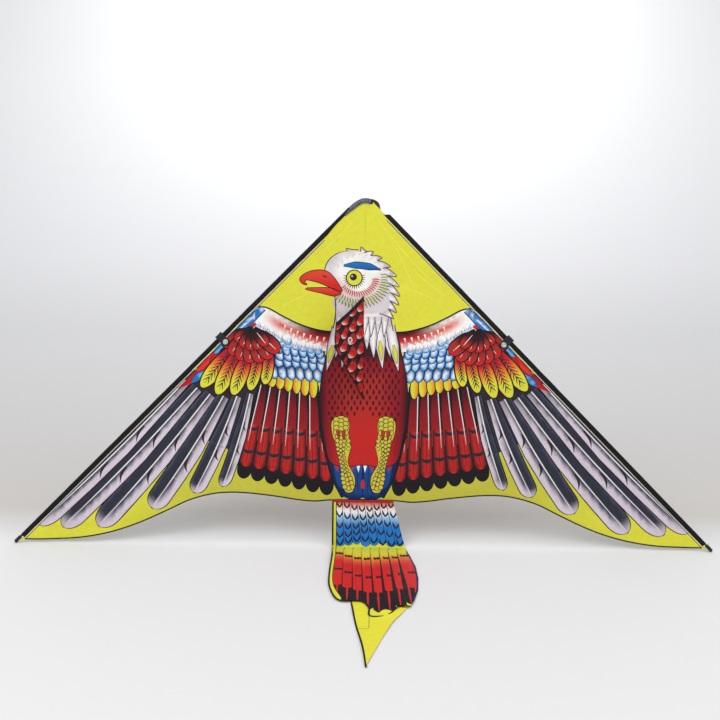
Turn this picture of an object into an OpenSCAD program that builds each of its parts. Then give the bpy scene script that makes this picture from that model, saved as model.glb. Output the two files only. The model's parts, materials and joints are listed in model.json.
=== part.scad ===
// Delta kite with a sewn cloth sail, a keel and a cloth tail, standing on its wing tips.
// Frame: +Z up, the kite faces -Y, X runs along the span, z = 0 is the floor.
// The kite plane has its own coordinates: u across, v up the spine, y out of the back.

/* [Sail] */
// Distance between the wing tips
wing_span = 1600; // [1500:10:1700]
// Height on the spine where the two leading edges would meet
edge_apex = 817; // [780:1:860]
// Thickness of one layer of sail cloth
cloth = 0.8; // [0.6:0.1:1]
// Width of the binding sewn along the trailing edge
hem_w = 4; // [3:0.5:6]
// Half width of the sewn seam between the two sail halves
seam_half = 6.5; // [6:0.1:6.8]
// Angle that the kite plane leans back from upright
lean = 12; // [8:1:16]

/* [Spars] */
// Diameter of the spine, the leading edge spars and the spreader
spar_d = 5; // [4:0.5:6]
// Distance from the nose to the upper end of a leading edge spar
spar_start = 90; // [85:5:200]
// Outer diameter of the rubber wing tip caps
tip_cap_d = 8.4; // [8:0.1:10]
// Width of the cloth sleeve along the leading edge
sleeve_w = 14; // [14:0.5:18]

/* [Spreader] */
// Distance from the spine to the rivet of a spreader fitting
rivet_u = 320; // [300:5:340]
// Diameter of the rivet head
rivet_d = 12; // [10:1:14]
// Length of a spreader clip along the rod
clip_len = 22; // [18:1:26]

/* [Keel] */
// Angle between the keel and the left wing
keel_angle = 40; // [35:1:60]
// Depth of the keel from the spine
keel_depth = 88; // [80:1:100]
// Distance from the spine to the tow eyelet
eyelet_rho = 43; // [40:1:50]
// Radius of the hole in the tow eyelet
eyelet_r = 3; // [2.5:0.1:3.5]

/* [Tail] */
// Half width of the tail where it is sewn to the sail
tail_half = 70; // [66:1:72]
// Length of the tail's feathered part on the floor
fan_len = 352; // [340:2:360]
// Distance from the floor bend to the tip of the tail
tail_reach = 545; // [520:1:570]

/* [Hidden] */

$fn = 48;
half_cloth = cloth / 2;
half_span = wing_span / 2;
spar_r = spar_d / 2;
fit_gap = 0.02;
cloth_gap = 0.1;
tape = 0.5;

// Leading edge: a straight line from the apex on the spine to the wing tip
edge_angle = atan(edge_apex / half_span);
edge_slope = edge_apex / half_span;
function edge_v(u, inset) = edge_apex - edge_slope * u - inset / cos(edge_angle);

// Cross-section of the sleeve: a cloth teardrop round the spar, sewn flat onto the sail
sleeve_r = spar_r + 0.8;
spar_inset = sleeve_r + 0.1;
sleeve_seam_w = 3;
sleeve_start = 80;
sail_inset = sleeve_w - sleeve_seam_w;
tip_cap_r = tip_cap_d / 2;
spar_end = (half_span - tip_cap_r + spar_inset * sin(edge_angle)) / cos(edge_angle);

// The wing tip caps and the tail stand on z = 0
tip_v = edge_apex - spar_end * sin(edge_angle) - spar_inset * cos(edge_angle);
floor_drop = tip_cap_r - tip_v * cos(lean);

// Spine: a rod in a cloth sleeve behind the centre seam
spine_sleeve_r = spar_r + 0.8;
spine_y = half_cloth + spine_sleeve_r + 0.3;
spine_foot = 114;
spine_top = 772;
cap_len = 14;
spine_cap_r = spar_r + 1.1;
nose_top = 797;
seam_top = 788;
strap_t = 4;

// Sail panels start clear of the seam, so that a wing can fold forward about the spine
panel_start = seam_half + 0.5;
hem_half = half_cloth + 0.4;

// Trailing edge of one half, from the tail seam to the wing tip
te_knots = [
    [0, 103], [0.094, 100], [0.14, 97], [0.19, 100], [0.25, 107], [0.33, 114],
    [0.39, 115], [0.44, 110], [0.5, 96], [0.56, 73], [0.63, 47], [0.69, 29],
    [0.75, 16], [0.82, 7], [0.89, 3.5], [0.97, 2.5], [1.02, 2.5]
];
te_steps = 3;
function knot(i) = [te_knots[i][0] * half_span, te_knots[i][1]];
function spline(a, b, c, d, t) =
    0.5 * (2 * b + (c - a) * t + (2 * a - 5 * b + 4 * c - d) * t * t
        + (3 * b - a - 3 * c + d) * t * t * t);
te_curve = [
    for (i = [1 : len(te_knots) - 3], k = [0 : te_steps - 1])
        spline(knot(i - 1), knot(i), knot(i + 1), knot(i + 2), k / te_steps),
    knot(len(te_knots) - 2)
];
te_inner = te_curve[0][1];
function raised(points, h) = [for (p = points) [p[0], p[1] + h]];
function backwards(points) = [for (i = [len(points) - 1 : -1 : 0]) points[i]];

// Spreader fittings
rivet_inset = 19.5;
rivet_v = edge_v(rivet_u, rivet_inset);
rivet_r = rivet_d / 2;
shank_r = 1.9;
tab_half = 9;
tab_t = 1.6;
tab_end = rivet_inset + 8;
tab_lump_r = 5.4;
tab_lump_w = 0.6;
tab_face = half_cloth + tab_t;
rod_y = spine_y + spine_sleeve_r + spar_r + 0.4;
rod_cap_r = spar_r + 0.6;
rod_half = rivet_u + 8;
clip_base_y = 5;
clip_base_r = 4;
clip_half = 4.4;
clip_bore_r = rod_cap_r + 0.1;

// Keel outline in its own plane: rho out from the spine, v up the spine
keel_base = 2.5;
keel_top_v = 572;
keel_foot_v = 335;
keel_corner = [keel_depth - 4, 506];
keel_heel = [keel_depth, 450];
keel_band_w = 8;
keel_hem_w = 3;
eyelet_v = 469;
eyelet_rim_r = eyelet_r + 4;
eyelet_len = 2.4;
eyelet_rim_t = 0.6;
eyelet_shank_r = eyelet_r + 0.9;

// Tail: an upper panel in the kite plane, then a fan and a flap lying on the floor
tail_top_v = 102.8;
tail_tape_w = 5;
bend_v = -floor_drop + 2.2;
bend_gap = 3;
tail_left = tail_half - 1;
tail_right_bend = 98;
fan_z = 1;
flap_start = 270;
flap_tip_x = 11;

// Middle of the whole object along Y, so that the origin is under its centre
front_y = -tail_reach;
back_y = nose_top * sin(lean) + (half_cloth + 0.1 + strap_t) * cos(lean);
shift_y = -(front_y + back_y) / 2;

// Places children in the leaning kite plane
module in_kite() {
    translate([0, shift_y, floor_drop]) rotate([-lean, 0, 0]) children();
}

// Places children on the floor, with y = 0 at the line of the wing tips
module on_floor() {
    translate([0, shift_y, 0]) children();
}

// A flat piece between y = from and y = to, drawn as an outline in u and v
module sheet_piece(from, to) {
    translate([0, to, 0]) rotate([90, 0, 0]) linear_extrude(to - from) children();
}

// Runs along the right leading edge: x is the inset from the edge, z the way to the tip
module along_edge(start) {
    translate([start * cos(edge_angle), 0, edge_apex - start * sin(edge_angle)])
        rotate([0, 90 + edge_angle, 0]) children();
}

// The right wing's piece, or its mirror image for the left wing
module wing_side(side) {
    in_kite() mirror([side < 0 ? 1 : 0, 0, 0]) children();
}

module sleeve_outline(grow = 0) {
    translate([spar_inset, 0]) circle(r = sleeve_r + grow);
    polygon([
        [spar_inset, -sleeve_r - grow], [sail_inset, -half_cloth - tape - grow],
        [sleeve_w + grow, -half_cloth - tape - grow], [sleeve_w + grow, half_cloth + tape + grow],
        [sail_inset, half_cloth + tape + grow], [spar_inset, sleeve_r + grow]
    ]);
}

module rivet_hole() {
    translate([rivet_u, 0, rivet_v]) rotate([90, 0, 0])
        cylinder(r = shank_r + fit_gap, h = 40, center = true);
}

module centre_seam() {
    color("gold") in_kite() sheet_piece(-half_cloth, half_cloth)
        translate([-seam_half, te_inner + hem_w])
            square([2 * seam_half, seam_top - te_inner - hem_w]);
}

module spine_sleeve() {
    color("dimgray") in_kite() {
        difference() {
            union() {
                translate([0, spine_y, spine_foot + cap_len])
                    cylinder(r = spine_sleeve_r, h = spine_top - spine_foot - 2 * cap_len);
                translate([-seam_half, half_cloth, spine_foot + cap_len])
                    cube([2 * seam_half, 0.6, spine_top - spine_foot - 2 * cap_len]);
            }
            translate([0, spine_y, 0]) cylinder(r = spar_r + fit_gap, h = nose_top);
        }
    }
}

module spine_spar() {
    color("black") in_kite() translate([0, spine_y, spine_foot])
        cylinder(r = spar_r, h = spine_top - spine_foot);
}

// A rubber cap on the spine: its closed end is at z = 0 and the rod enters from above
module spine_cap() {
    difference() {
        cylinder(r = spine_cap_r, h = cap_len);
        translate([0, 0, 2]) cylinder(r = spar_r + fit_gap, h = cap_len);
    }
}

module spine_foot_cap() {
    color("black") in_kite() translate([0, spine_y, spine_foot - 2]) spine_cap();
}

module spine_nose_cap() {
    color("black") in_kite() translate([0, spine_y, spine_top + 2]) mirror([0, 0, 1]) spine_cap();
}

// Doubled webbing over the nose, with its right end turned down behind the sail
module nose_strap() {
    color("dimgray") in_kite() sheet_piece(half_cloth + 0.1, half_cloth + 0.1 + strap_t)
        polygon([
            [-30, 776], [-15, 789], [-4, nose_top - 1], [4, nose_top], [13, nose_top - 3],
            [20, 786], [24, 768], [13, 768], [10, 780], [0, 783], [-9, 779], [-21, 768]
        ]);
}

module sail(side) {
    last = te_curve[len(te_curve) - 1];
    tip_u = (edge_apex - sail_inset / cos(edge_angle) - last[1] - hem_w) / edge_slope;
    color("gold") wing_side(side) difference() {
        sheet_piece(-half_cloth, half_cloth) polygon(concat(
            [[panel_start, edge_v(panel_start, sail_inset)], [tip_u, last[1] + hem_w]],
            backwards(raised(te_curve, hem_w)),
            [[panel_start, te_inner + hem_w]]
        ));
        rivet_hole();
    }
}

module leading_edge_sleeve(side) {
    length = spar_end - sleeve_start - cap_len - 4;
    color("black") wing_side(side) along_edge(sleeve_start) linear_extrude(length) difference() {
        sleeve_outline();
        translate([spar_inset, 0]) circle(r = spar_r + fit_gap);
        polygon([[spar_inset, -spar_r + 0.4], [sail_inset - 1.5, 0], [spar_inset, spar_r - 0.4]]);
        translate([sail_inset, -half_cloth]) square([sleeve_seam_w + 1, cloth]);
    }
}

module leading_edge_spar(side) {
    color("black") wing_side(side) along_edge(spar_start) translate([spar_inset, 0, 0])
        cylinder(r = spar_r, h = spar_end - spar_start);
}

module tip_cap(side) {
    color("black") wing_side(side) along_edge(spar_end) translate([spar_inset, 0, 0]) difference() {
        union() {
            sphere(r = tip_cap_r);
            translate([0, 0, -cap_len]) cylinder(r = tip_cap_r, h = cap_len);
        }
        translate([0, 0, -2 * cap_len]) cylinder(r = spar_r + fit_gap, h = 2 * cap_len);
    }
}

module trailing_binding(side) {
    color("black") wing_side(side) sheet_piece(-hem_half, hem_half)
        polygon(concat(te_curve, backwards(raised(te_curve, hem_w))));
}

// Webbing loop round the sleeved spar, riveted through the sail
module spreader_tab(side) {
    color("black") wing_side(side) difference() {
        along_edge((rivet_u + rivet_inset * sin(edge_angle)) / cos(edge_angle) - tab_half)
            linear_extrude(2 * tab_half) difference() {
                union() {
                    translate([tab_lump_w, 0]) circle(r = tab_lump_r);
                    polygon([
                        [tab_lump_w, -tab_lump_r], [sleeve_w, -tab_face], [tab_end, -tab_face],
                        [tab_end, tab_face], [sleeve_w, tab_face], [tab_lump_w, tab_lump_r]
                    ]);
                }
                sleeve_outline(cloth_gap);
                translate([sleeve_w, -half_cloth]) square([tab_end, cloth]);
            }
        rivet_hole();
    }
}

module spreader_rivet(side) {
    dish_r = 3.4;
    color("silver") wing_side(side) translate([rivet_u, -tab_face, rivet_v]) rotate([90, 0, 0])
        rotate_extrude() polygon([
            [0, -tab_face - clip_base_y + 0.8], [shank_r, -tab_face - clip_base_y + 0.8],
            [shank_r, 0], [rivet_r, 0], [rivet_r, 0.5], [rivet_r - 1, 1.2],
            [dish_r, 1.3], [dish_r - 1, 0.8], [0, 0.8]
        ]);
}

// Clip behind the tab, open at the back, that the end of the spreader presses into
module spreader_clip(side) {
    color("dimgray") wing_side(side) translate([rivet_u, 0, rivet_v]) difference() {
        union() {
            translate([0, clip_base_y + 0.2, 0]) rotate([90, 0, 0])
                cylinder(r = clip_base_r, h = clip_base_y + 0.2 - tab_face);
            translate([-clip_len / 2, clip_base_y, -clip_half])
                cube([clip_len, rod_y + 1 - clip_base_y, 2 * clip_half]);
        }
        translate([0, rod_y, 0]) rotate([0, 90, 0])
            cylinder(r = clip_bore_r, h = 2 * clip_len, center = true);
        translate([-clip_len, rod_y, -clip_bore_r]) cube([2 * clip_len, 10, 2 * clip_bore_r]);
        rotate([90, 0, 0]) cylinder(r = shank_r + fit_gap, h = 20, center = true);
    }
}

module spreader_rod() {
    color("black") in_kite() translate([0, rod_y, rivet_v]) rotate([0, 90, 0])
        cylinder(r = spar_r, h = 2 * rod_half, center = true);
}

module rod_cap(side) {
    color("dimgray") wing_side(side) translate([rod_half - cap_len + 2, rod_y, rivet_v])
        rotate([0, 90, 0]) difference() {
            cylinder(r = rod_cap_r, h = cap_len);
            translate([0, 0, -2]) cylinder(r = spar_r + fit_gap, h = cap_len);
        }
}

// Places children in the keel's own plane: x out from the spine, z up it
module in_keel() {
    in_kite() rotate([0, 0, 180 + keel_angle]) children();
}

module keel_outline() {
    polygon([[keel_base, keel_foot_v], keel_heel, keel_corner, [keel_base, keel_top_v]]);
}

// The strip of the keel along its upper edge
module keel_band_outline() {
    run = keel_corner - [keel_base, keel_top_v];
    across = keel_band_w * [run[1], -run[0]] / norm(run);
    start = [keel_base, keel_top_v] + 0.12 * run;
    polygon([start, keel_corner, keel_corner + across, start + across]);
}

// The strip along the keel's outer and lower edges
module keel_hem_outline() {
    run = keel_heel - [keel_base, keel_foot_v];
    across = keel_hem_w * [-run[1], run[0]] / norm(run);
    start = [keel_base, keel_foot_v] + 0.12 * run;
    polygon([
        start, keel_heel, keel_corner, keel_corner - [keel_hem_w, 0],
        keel_heel + across - [1, 0], start + across
    ]);
}

module keel_panel() {
    color("firebrick") in_keel() difference() {
        sheet_piece(-half_cloth, half_cloth) difference() {
            keel_outline();
            keel_band_outline();
            keel_hem_outline();
        }
        translate([eyelet_rho, 0, eyelet_v]) rotate([90, 0, 0])
            cylinder(r = eyelet_shank_r + fit_gap, h = 10, center = true);
    }
}

module keel_binding() {
    color("black") in_keel() sheet_piece(-hem_half, hem_half) keel_band_outline();
}

module keel_hem() {
    color("black") in_keel() sheet_piece(-hem_half, hem_half) difference() {
        keel_hem_outline();
        keel_band_outline();
    }
}

module tow_eyelet() {
    color("silver") in_keel() translate([eyelet_rho, eyelet_len / 2, eyelet_v])
        rotate([90, 0, 0]) difference() {
            union() {
                cylinder(r = eyelet_shank_r, h = eyelet_len);
                cylinder(r = eyelet_rim_r, h = eyelet_rim_t);
                translate([0, 0, eyelet_len - eyelet_rim_t])
                    cylinder(r = eyelet_rim_r, h = eyelet_rim_t);
            }
            translate([0, 0, -1]) cylinder(r = eyelet_r, h = eyelet_len + 2);
        }
}

// Right edge of the tail's upper panel at height v
function tail_right(v) =
    tail_half + (tail_right_bend - tail_half) * (tail_top_v - v) / (tail_top_v - bend_v);

module tail_seam_tape() {
    low = tail_top_v - tail_tape_w;
    color("black") in_kite() sheet_piece(-hem_half, hem_half)
        polygon([
            [-tail_half, tail_top_v], [tail_half, tail_top_v], [tail_right(low), low],
            [-tail_half, low]
        ]);
}

module tail_upper_panel() {
    top = tail_top_v - tail_tape_w;
    low = bend_v + bend_gap;
    color("crimson") in_kite() sheet_piece(-half_cloth, half_cloth)
        polygon([
            [-tail_half + hem_w, top], [tail_right(top), top],
            [tail_right(low), low], [-tail_left + hem_w, low]
        ]);
}

module tail_upper_binding() {
    top = tail_top_v - tail_tape_w;
    low = bend_v + bend_gap;
    color("black") in_kite() sheet_piece(-hem_half, hem_half)
        polygon([
            [-tail_half, top], [-tail_half + hem_w, top],
            [-tail_left + hem_w, low], [-tail_left, low]
        ]);
}

// Fan on the floor, seen from above, drawn in by the width of its binding
module fan_outline(inset) {
    polygon([
        [-tail_left + inset, -bend_gap], [tail_right_bend, -bend_gap], [105, -40], [118, -110],
        [121, -170], [118, -230], [108, -280], [98, -312 + inset],
        [78, -310 + inset], [55, -fan_len + 7 + inset], [18, -fan_len + inset],
        [15, -315 + inset], [0, -288 + inset], [-45 + inset, -285 + inset],
        [-66 + inset, -225], [-70 + inset, -160], [-68 + inset, -60]
    ]);
}

module tail_fan() {
    color("crimson") on_floor() translate([0, 0, fan_z]) linear_extrude(cloth)
        fan_outline(hem_w);
}

module tail_fan_binding() {
    color("black") on_floor() translate([0, 0, fan_z - 0.1]) linear_extrude(cloth + 0.3)
        difference() {
            fan_outline(0);
            fan_outline(hem_w);
        }
}

// Points of the flap's left edge, from under the fan to the tip of the tail
flap_edge = [[-22, -flap_start], [-10, -380], [4, -470], [flap_tip_x, -tail_reach]];

module tail_flap() {
    color("gold") on_floor() linear_extrude(cloth) polygon(concat(
        [for (p = flap_edge) p + [hem_w, p[1] < -500 ? hem_w * 3 : 0]],
        [[41, -440], [62, -375], [98, -flap_start - 30], [100, -flap_start]]
    ));
}

module tail_flap_binding() {
    color("black") on_floor() linear_extrude(cloth) polygon(concat(
        flap_edge,
        [for (p = backwards(flap_edge)) p + [hem_w, p[1] < -500 ? hem_w * 3 : 0]]
    ));
}

centre_seam();
spine_sleeve();
spine_spar();
spine_foot_cap();
spine_nose_cap();
nose_strap();
sail(-1);  // sail_left
leading_edge_sleeve(-1);  // leading_edge_sleeve_left
leading_edge_spar(-1);  // leading_edge_spar_left
tip_cap(-1);  // tip_cap_left
trailing_binding(-1);  // trailing_binding_left
spreader_tab(-1);  // spreader_tab_left
spreader_rivet(-1);  // spreader_rivet_left
spreader_clip(-1);  // spreader_clip_left
sail(1);  // sail_right
leading_edge_sleeve(1);  // leading_edge_sleeve_right
leading_edge_spar(1);  // leading_edge_spar_right
tip_cap(1);  // tip_cap_right
trailing_binding(1);  // trailing_binding_right
spreader_tab(1);  // spreader_tab_right
spreader_rivet(1);  // spreader_rivet_right
spreader_clip(1);  // spreader_clip_right
spreader_rod();
rod_cap(-1);  // rod_cap_left
rod_cap(1);  // rod_cap_right
keel_panel();
keel_binding();
keel_hem();
tow_eyelet();
tail_seam_tape();
tail_upper_panel();
tail_upper_binding();
tail_fan();
tail_fan_binding();
tail_flap();
tail_flap_binding();
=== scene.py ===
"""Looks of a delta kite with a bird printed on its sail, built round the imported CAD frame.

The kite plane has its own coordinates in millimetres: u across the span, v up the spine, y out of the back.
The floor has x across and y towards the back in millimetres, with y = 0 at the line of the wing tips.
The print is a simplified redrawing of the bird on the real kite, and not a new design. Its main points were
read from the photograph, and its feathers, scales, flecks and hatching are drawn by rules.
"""
import math

import bpy
from mathutils import Matrix, Vector, noise
from mathutils.geometry import delaunay_2d_cdt
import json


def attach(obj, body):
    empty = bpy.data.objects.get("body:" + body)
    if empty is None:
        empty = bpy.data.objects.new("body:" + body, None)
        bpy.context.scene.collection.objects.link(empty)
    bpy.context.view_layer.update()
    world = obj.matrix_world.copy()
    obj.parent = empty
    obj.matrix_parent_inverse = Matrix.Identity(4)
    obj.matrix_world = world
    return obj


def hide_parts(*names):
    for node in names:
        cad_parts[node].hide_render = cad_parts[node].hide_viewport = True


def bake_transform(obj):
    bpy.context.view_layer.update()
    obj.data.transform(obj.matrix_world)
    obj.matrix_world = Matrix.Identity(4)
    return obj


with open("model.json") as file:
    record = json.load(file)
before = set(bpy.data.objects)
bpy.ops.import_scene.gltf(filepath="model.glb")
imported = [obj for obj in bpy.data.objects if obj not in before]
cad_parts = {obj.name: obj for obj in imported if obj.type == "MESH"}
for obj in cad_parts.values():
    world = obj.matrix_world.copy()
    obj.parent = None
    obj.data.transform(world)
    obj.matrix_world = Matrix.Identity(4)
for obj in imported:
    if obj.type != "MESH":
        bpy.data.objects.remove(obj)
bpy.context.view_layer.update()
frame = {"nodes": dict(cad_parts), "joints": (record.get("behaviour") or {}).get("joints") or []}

# ---------------------------------------------------------------- Places, from the frame

MM = 0.001
FOLD_V = 400          # the wing folds' point is this far up the spine
LEAN = math.radians(12)
EDGE_APEX = 817       # where the two leading edges would meet on the spine
EDGE_ANGLE = math.atan(EDGE_APEX / 800)
EDGE_COS, EDGE_SIN = math.cos(EDGE_ANGLE), math.sin(EDGE_ANGLE)
SAIL_INSET = 11       # the sail's edge inside the sleeve
SLEEVE_W = 14
TE_KNOTS = [
    (0, 103), (75, 100), (112, 97), (152, 100), (200, 107), (264, 114), (312, 115), (352, 110), (400, 96),
    (448, 73), (504, 47), (552, 29), (600, 16), (656, 7), (712, 3.5), (776, 2.5),
]
RIVET_U, RIVET_INSET = 320, 19.5
NOSE_TOP = 795        # the sail's blunt top, under the nose strap
TAIL_TOP, BEND_V = 102.8, -2.6
TAIL_HALF, TAIL_RIGHT_BEND = 70, 98
KEEL_ANGLE = math.radians(180 + 40)
KEEL_CUT = [(2.5, 335), (88, 450), (84, 506), (2.5, 572)]

fold = next(joint for joint in frame["joints"] if joint["name"] == "left_wing_fold")
UP = Vector(fold["axis"])
ACROSS = Vector((1, 0, 0))
BACK = UP.cross(ACROSS)
ORIGIN = Vector(fold["pos_m"]) - FOLD_V * MM * UP
RIVET_V = EDGE_APEX - RIVET_U * EDGE_SIN / EDGE_COS - RIVET_INSET / EDGE_COS


def at(u, v, y=0.0):
    """A point of the kite plane."""
    return ORIGIN + (ACROSS * u + UP * v + BACK * y) * MM


def on_floor(x, y, z):
    return Vector((x * MM, ORIGIN.y + y * MM, z * MM))


def edge_point(s, inset):
    """(u, v) at a distance s down the right leading edge and inset from it."""
    return s * EDGE_COS - inset * EDGE_SIN, EDGE_APEX - s * EDGE_SIN - inset * EDGE_COS


def edge_inset(u, v):
    """How far a point of either wing is inside its leading edge."""
    return (EDGE_APEX - v) * EDGE_COS - abs(u) * EDGE_SIN


def smooth(low, high, x):
    t = min(1, max(0, (x - low) / (high - low)))
    return t * t * (3 - 2 * t)


# ---------------------------------------------------------------- Colours of the inks

def colour(code):
    """A linear colour from its sRGB code."""
    channels = [int(code[i:i + 2], 16) / 255 for i in (0, 2, 4)]
    return tuple(c / 12.92 if c <= 0.04045 else ((c + 0.055) / 1.055) ** 2.4 for c in channels)


# Two yellows here stand in for light: a darker one is painted shade on the sail and also draws the centre seam's
# line, and a lighter one is painted highlight along soft folds.
INK = {name: colour(code) for name, code in {
    "ground": "d2cf3c", "shade_and_seam_yellow": "b8b43e", "flap": "d8d23a", "fold_highlight": "d9d750",
    "black": "1b171c", "soft_black": "2c262e", "white": "eceae6", "cream": "dcd8ca", "mauve": "b6a9b2",
    "red": "c2211f", "brick": "a42a24", "dark_red": "861820", "maroon": "3a131c", "beak": "d2432f",
    "claw": "b03028",
    "orange": "d8702a", "amber": "dba42e", "yellow": "d0cd3a", "olive": "77742a", "scale": "c9bb3e",
    "blush": "d99c92", "moss": "a9aa62",
    "blue": "1f6db2", "bright_blue": "2377c8", "deep_blue": "164384", "night": "10204f", "sky": "7fb4dc",
    "pale": "dbe6ee",
    "slate": "2c2e3a", "slate_light": "44485a", "plum": "3a2c38", "rose": "cbbfc9", "rachis": "d8d6d2",
    "hatch_red": "9a3a34", "hatch_green": "6d7436",
}.items()}


def mix(a, b, t):
    return tuple(p + (q - p) * t for p, q in zip(a, b))


def ramp(stops, t):
    """The colour at t along (place, ink) stops."""
    if t <= stops[0][0]:
        return INK[stops[0][1]]
    for (t0, ink0), (t1, ink1) in zip(stops, stops[1:]):
        if t <= t1:
            return mix(INK[ink0], INK[ink1], smooth(t0, t1, t))
    return INK[stops[-1][1]]


# ---------------------------------------------------------------- Outlines and strokes, in millimetres

def lerp(a, b, t):
    return a[0] + (b[0] - a[0]) * t, a[1] + (b[1] - a[1]) * t


def spline_point(a, b, c, d, t):
    return tuple(
        0.5 * (2 * q + (r - p) * t + (2 * p - 5 * q + 4 * r - s) * t * t + (3 * q - p - 3 * r + s) * t ** 3)
        for p, q, r, s in zip(a, b, c, d)
    )


def curve(points, steps=4):
    """A smooth open line through the points."""
    ends = [lerp(points[0], points[1], -1)] + list(points) + [lerp(points[-1], points[-2], -1)]
    line = [
        spline_point(*ends[i:i + 4], k / steps) for i in range(len(points) - 1) for k in range(steps)
    ]
    return line + [tuple(points[-1])]


def loop(points, steps=4):
    """A smooth closed outline through the points."""
    ring = [points[-1]] + list(points) + list(points[:2])
    return [spline_point(*ring[i:i + 4], k / steps) for i in range(len(points)) for k in range(steps)]


def disc(centre, radius, tall=1.0, count=18):
    turns = [2 * math.pi * k / count for k in range(count)]
    return [(centre[0] + radius * math.cos(a), centre[1] + radius * tall * math.sin(a)) for a in turns]


def stroke(path, width, start=0.25, end=0.25):
    """A line of ink along the path, its width drawn in to a share at its start and end."""
    left, right = [], []
    last = len(path) - 1
    for i, (x, y) in enumerate(path):
        before, after = path[max(0, i - 1)], path[min(last, i + 1)]
        dx, dy = after[0] - before[0], after[1] - before[1]
        size = math.hypot(dx, dy) or 1
        t = i / last
        half = width / 2 * min(1, start + (1 - start) * t / 0.3, end + (1 - end) * (1 - t) / 0.3)
        left.append((x - dy / size * half, y + dx / size * half))
        right.append((x + dy / size * half, y - dx / size * half))
    return right + left[::-1]


def arc(start, end, bow, steps=6):
    """Points from start to end along a shallow arc that bows to the left of the way."""
    dx, dy = end[0] - start[0], end[1] - start[1]
    size = math.hypot(dx, dy) or 1
    points = []
    for k in range(steps + 1):
        t = k / steps
        x, y = lerp(start, end, t)
        points.append((x - dy / size * bow * 4 * t * (1 - t), y + dx / size * bow * 4 * t * (1 - t)))
    return points


def is_ccw(outline):
    area = sum(a[0] * b[1] - b[0] * a[1] for a, b in zip(outline, outline[1:] + outline[:1]))
    return area > 0


def grown(outline, by):
    """The same closed outline, moved outwards a little."""
    way = by if is_ccw(outline) else -by
    moved = []
    for before, (x, y), after in zip(outline[-1:] + outline[:-1], outline, outline[1:] + outline[:1]):
        dx, dy = after[0] - before[0], after[1] - before[1]
        size = math.hypot(dx, dy) or 1
        moved.append((x + way * dy / size, y - way * dx / size))
    return moved


class Feather:
    """A feather from root to tip. w is -1 to 1 across it, with +1 on the left of the way to the tip."""

    def __init__(self, root, tip, half, bow=0.0, root_share=0.5, shoulder=0.7, pointed=False):
        self.root, self.tip, self.half, self.bow = root, tip, half, bow
        self.root_share, self.shoulder, self.pointed = root_share, shoulder, pointed
        self.length = math.hypot(tip[0] - root[0], tip[1] - root[1])
        self.way = ((tip[0] - root[0]) / self.length, (tip[1] - root[1]) / self.length)

    def width(self, s):
        full = self.root_share + (1 - self.root_share) * smooth(0, 0.5, s)
        past = max(0, s - self.shoulder) / (1 - self.shoulder)
        end = (1 - min(1, past)) ** 0.85 if self.pointed else math.sqrt(max(0, 1 - past * past))
        return self.half * full * end

    def point(self, s, w, grow=0.0):
        """The point at s along and w across, grow mm outside the feather's own edge."""
        side = w * self.width(s) + math.copysign(grow, w) * (1 if w else 0) + self.bow * math.sin(math.pi * s)
        reach = s * self.length + (grow if s >= 1 else 0)
        return (
            self.root[0] + self.way[0] * reach - self.way[1] * side,
            self.root[1] + self.way[1] * reach + self.way[0] * side,
        )

    def place(self, p):
        """(s, w) of a point."""
        x, y = p[0] - self.root[0], p[1] - self.root[1]
        s = (x * self.way[0] + y * self.way[1]) / self.length
        side = y * self.way[0] - x * self.way[1] - self.bow * math.sin(math.pi * min(1, max(0, s)))
        return s, side / max(self.width(min(s, 0.97)), 0.5)

    def stations(self):
        straight = [self.shoulder * k / 4 for k in range(4)]
        round_end = [
            self.shoulder + (1 - self.shoulder) * math.sin(math.pi / 2 * k / 6) for k in range(6)
        ]
        return straight + round_end

    def outline(self, grow=0.0, low=-1.0, high=1.0):
        """The feather between two lines across it, such as 0 and 1 for its left half."""
        near = [self.point(s, low, grow if low in (-1, 1) else 0) for s in self.stations()]
        far = [self.point(s, high, grow if high in (-1, 1) else 0) for s in self.stations()]
        return near + [self.point(1, 0, grow)] + far[::-1]

    def shaft(self, end=0.97, start=0.0):
        return [self.point(start + (end - start) * k / 8, 0) for k in range(9)]


def plain(ink):
    return lambda p: INK[ink]


def drawn(path, width, ink, start=0.25, end=0.25):
    """A stroke in one ink."""
    return stroke(path, width, start, end), plain(ink)


def along_feather(feather, stops):
    return lambda p: ramp(stops, feather.place(p)[0])


def across_feather(feather, stops):
    return lambda p: ramp(stops, abs(feather.place(p)[1]))


def mirrored(art):
    """The same art on the other wing."""
    return [
        ([(-x, y) for x, y in outline], lambda p, paint=paint: paint((-p[0], p[1])))
        for outline, paint in art
    ]


def barbs(feather, pairs, width, ink, reach=0.85):
    """Fine lines that run out from a feather's shaft to its edges."""
    lines = []
    for k in range(pairs):
        s = 0.12 + 0.72 * k / pairs
        for w in (-reach, reach):
            path = [feather.point(s, 0), feather.point(s + 0.08, w * 0.55), feather.point(s + 0.13, w)]
            lines.append(drawn(path, width, ink, 1, 0.3))
    return lines


def outlined(feather, paint, line=1.6, ink="black"):
    return [(feather.outline(line), plain(ink)), (feather.outline(), paint)]


# ---------------------------------------------------------------- The print: a wing

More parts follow.
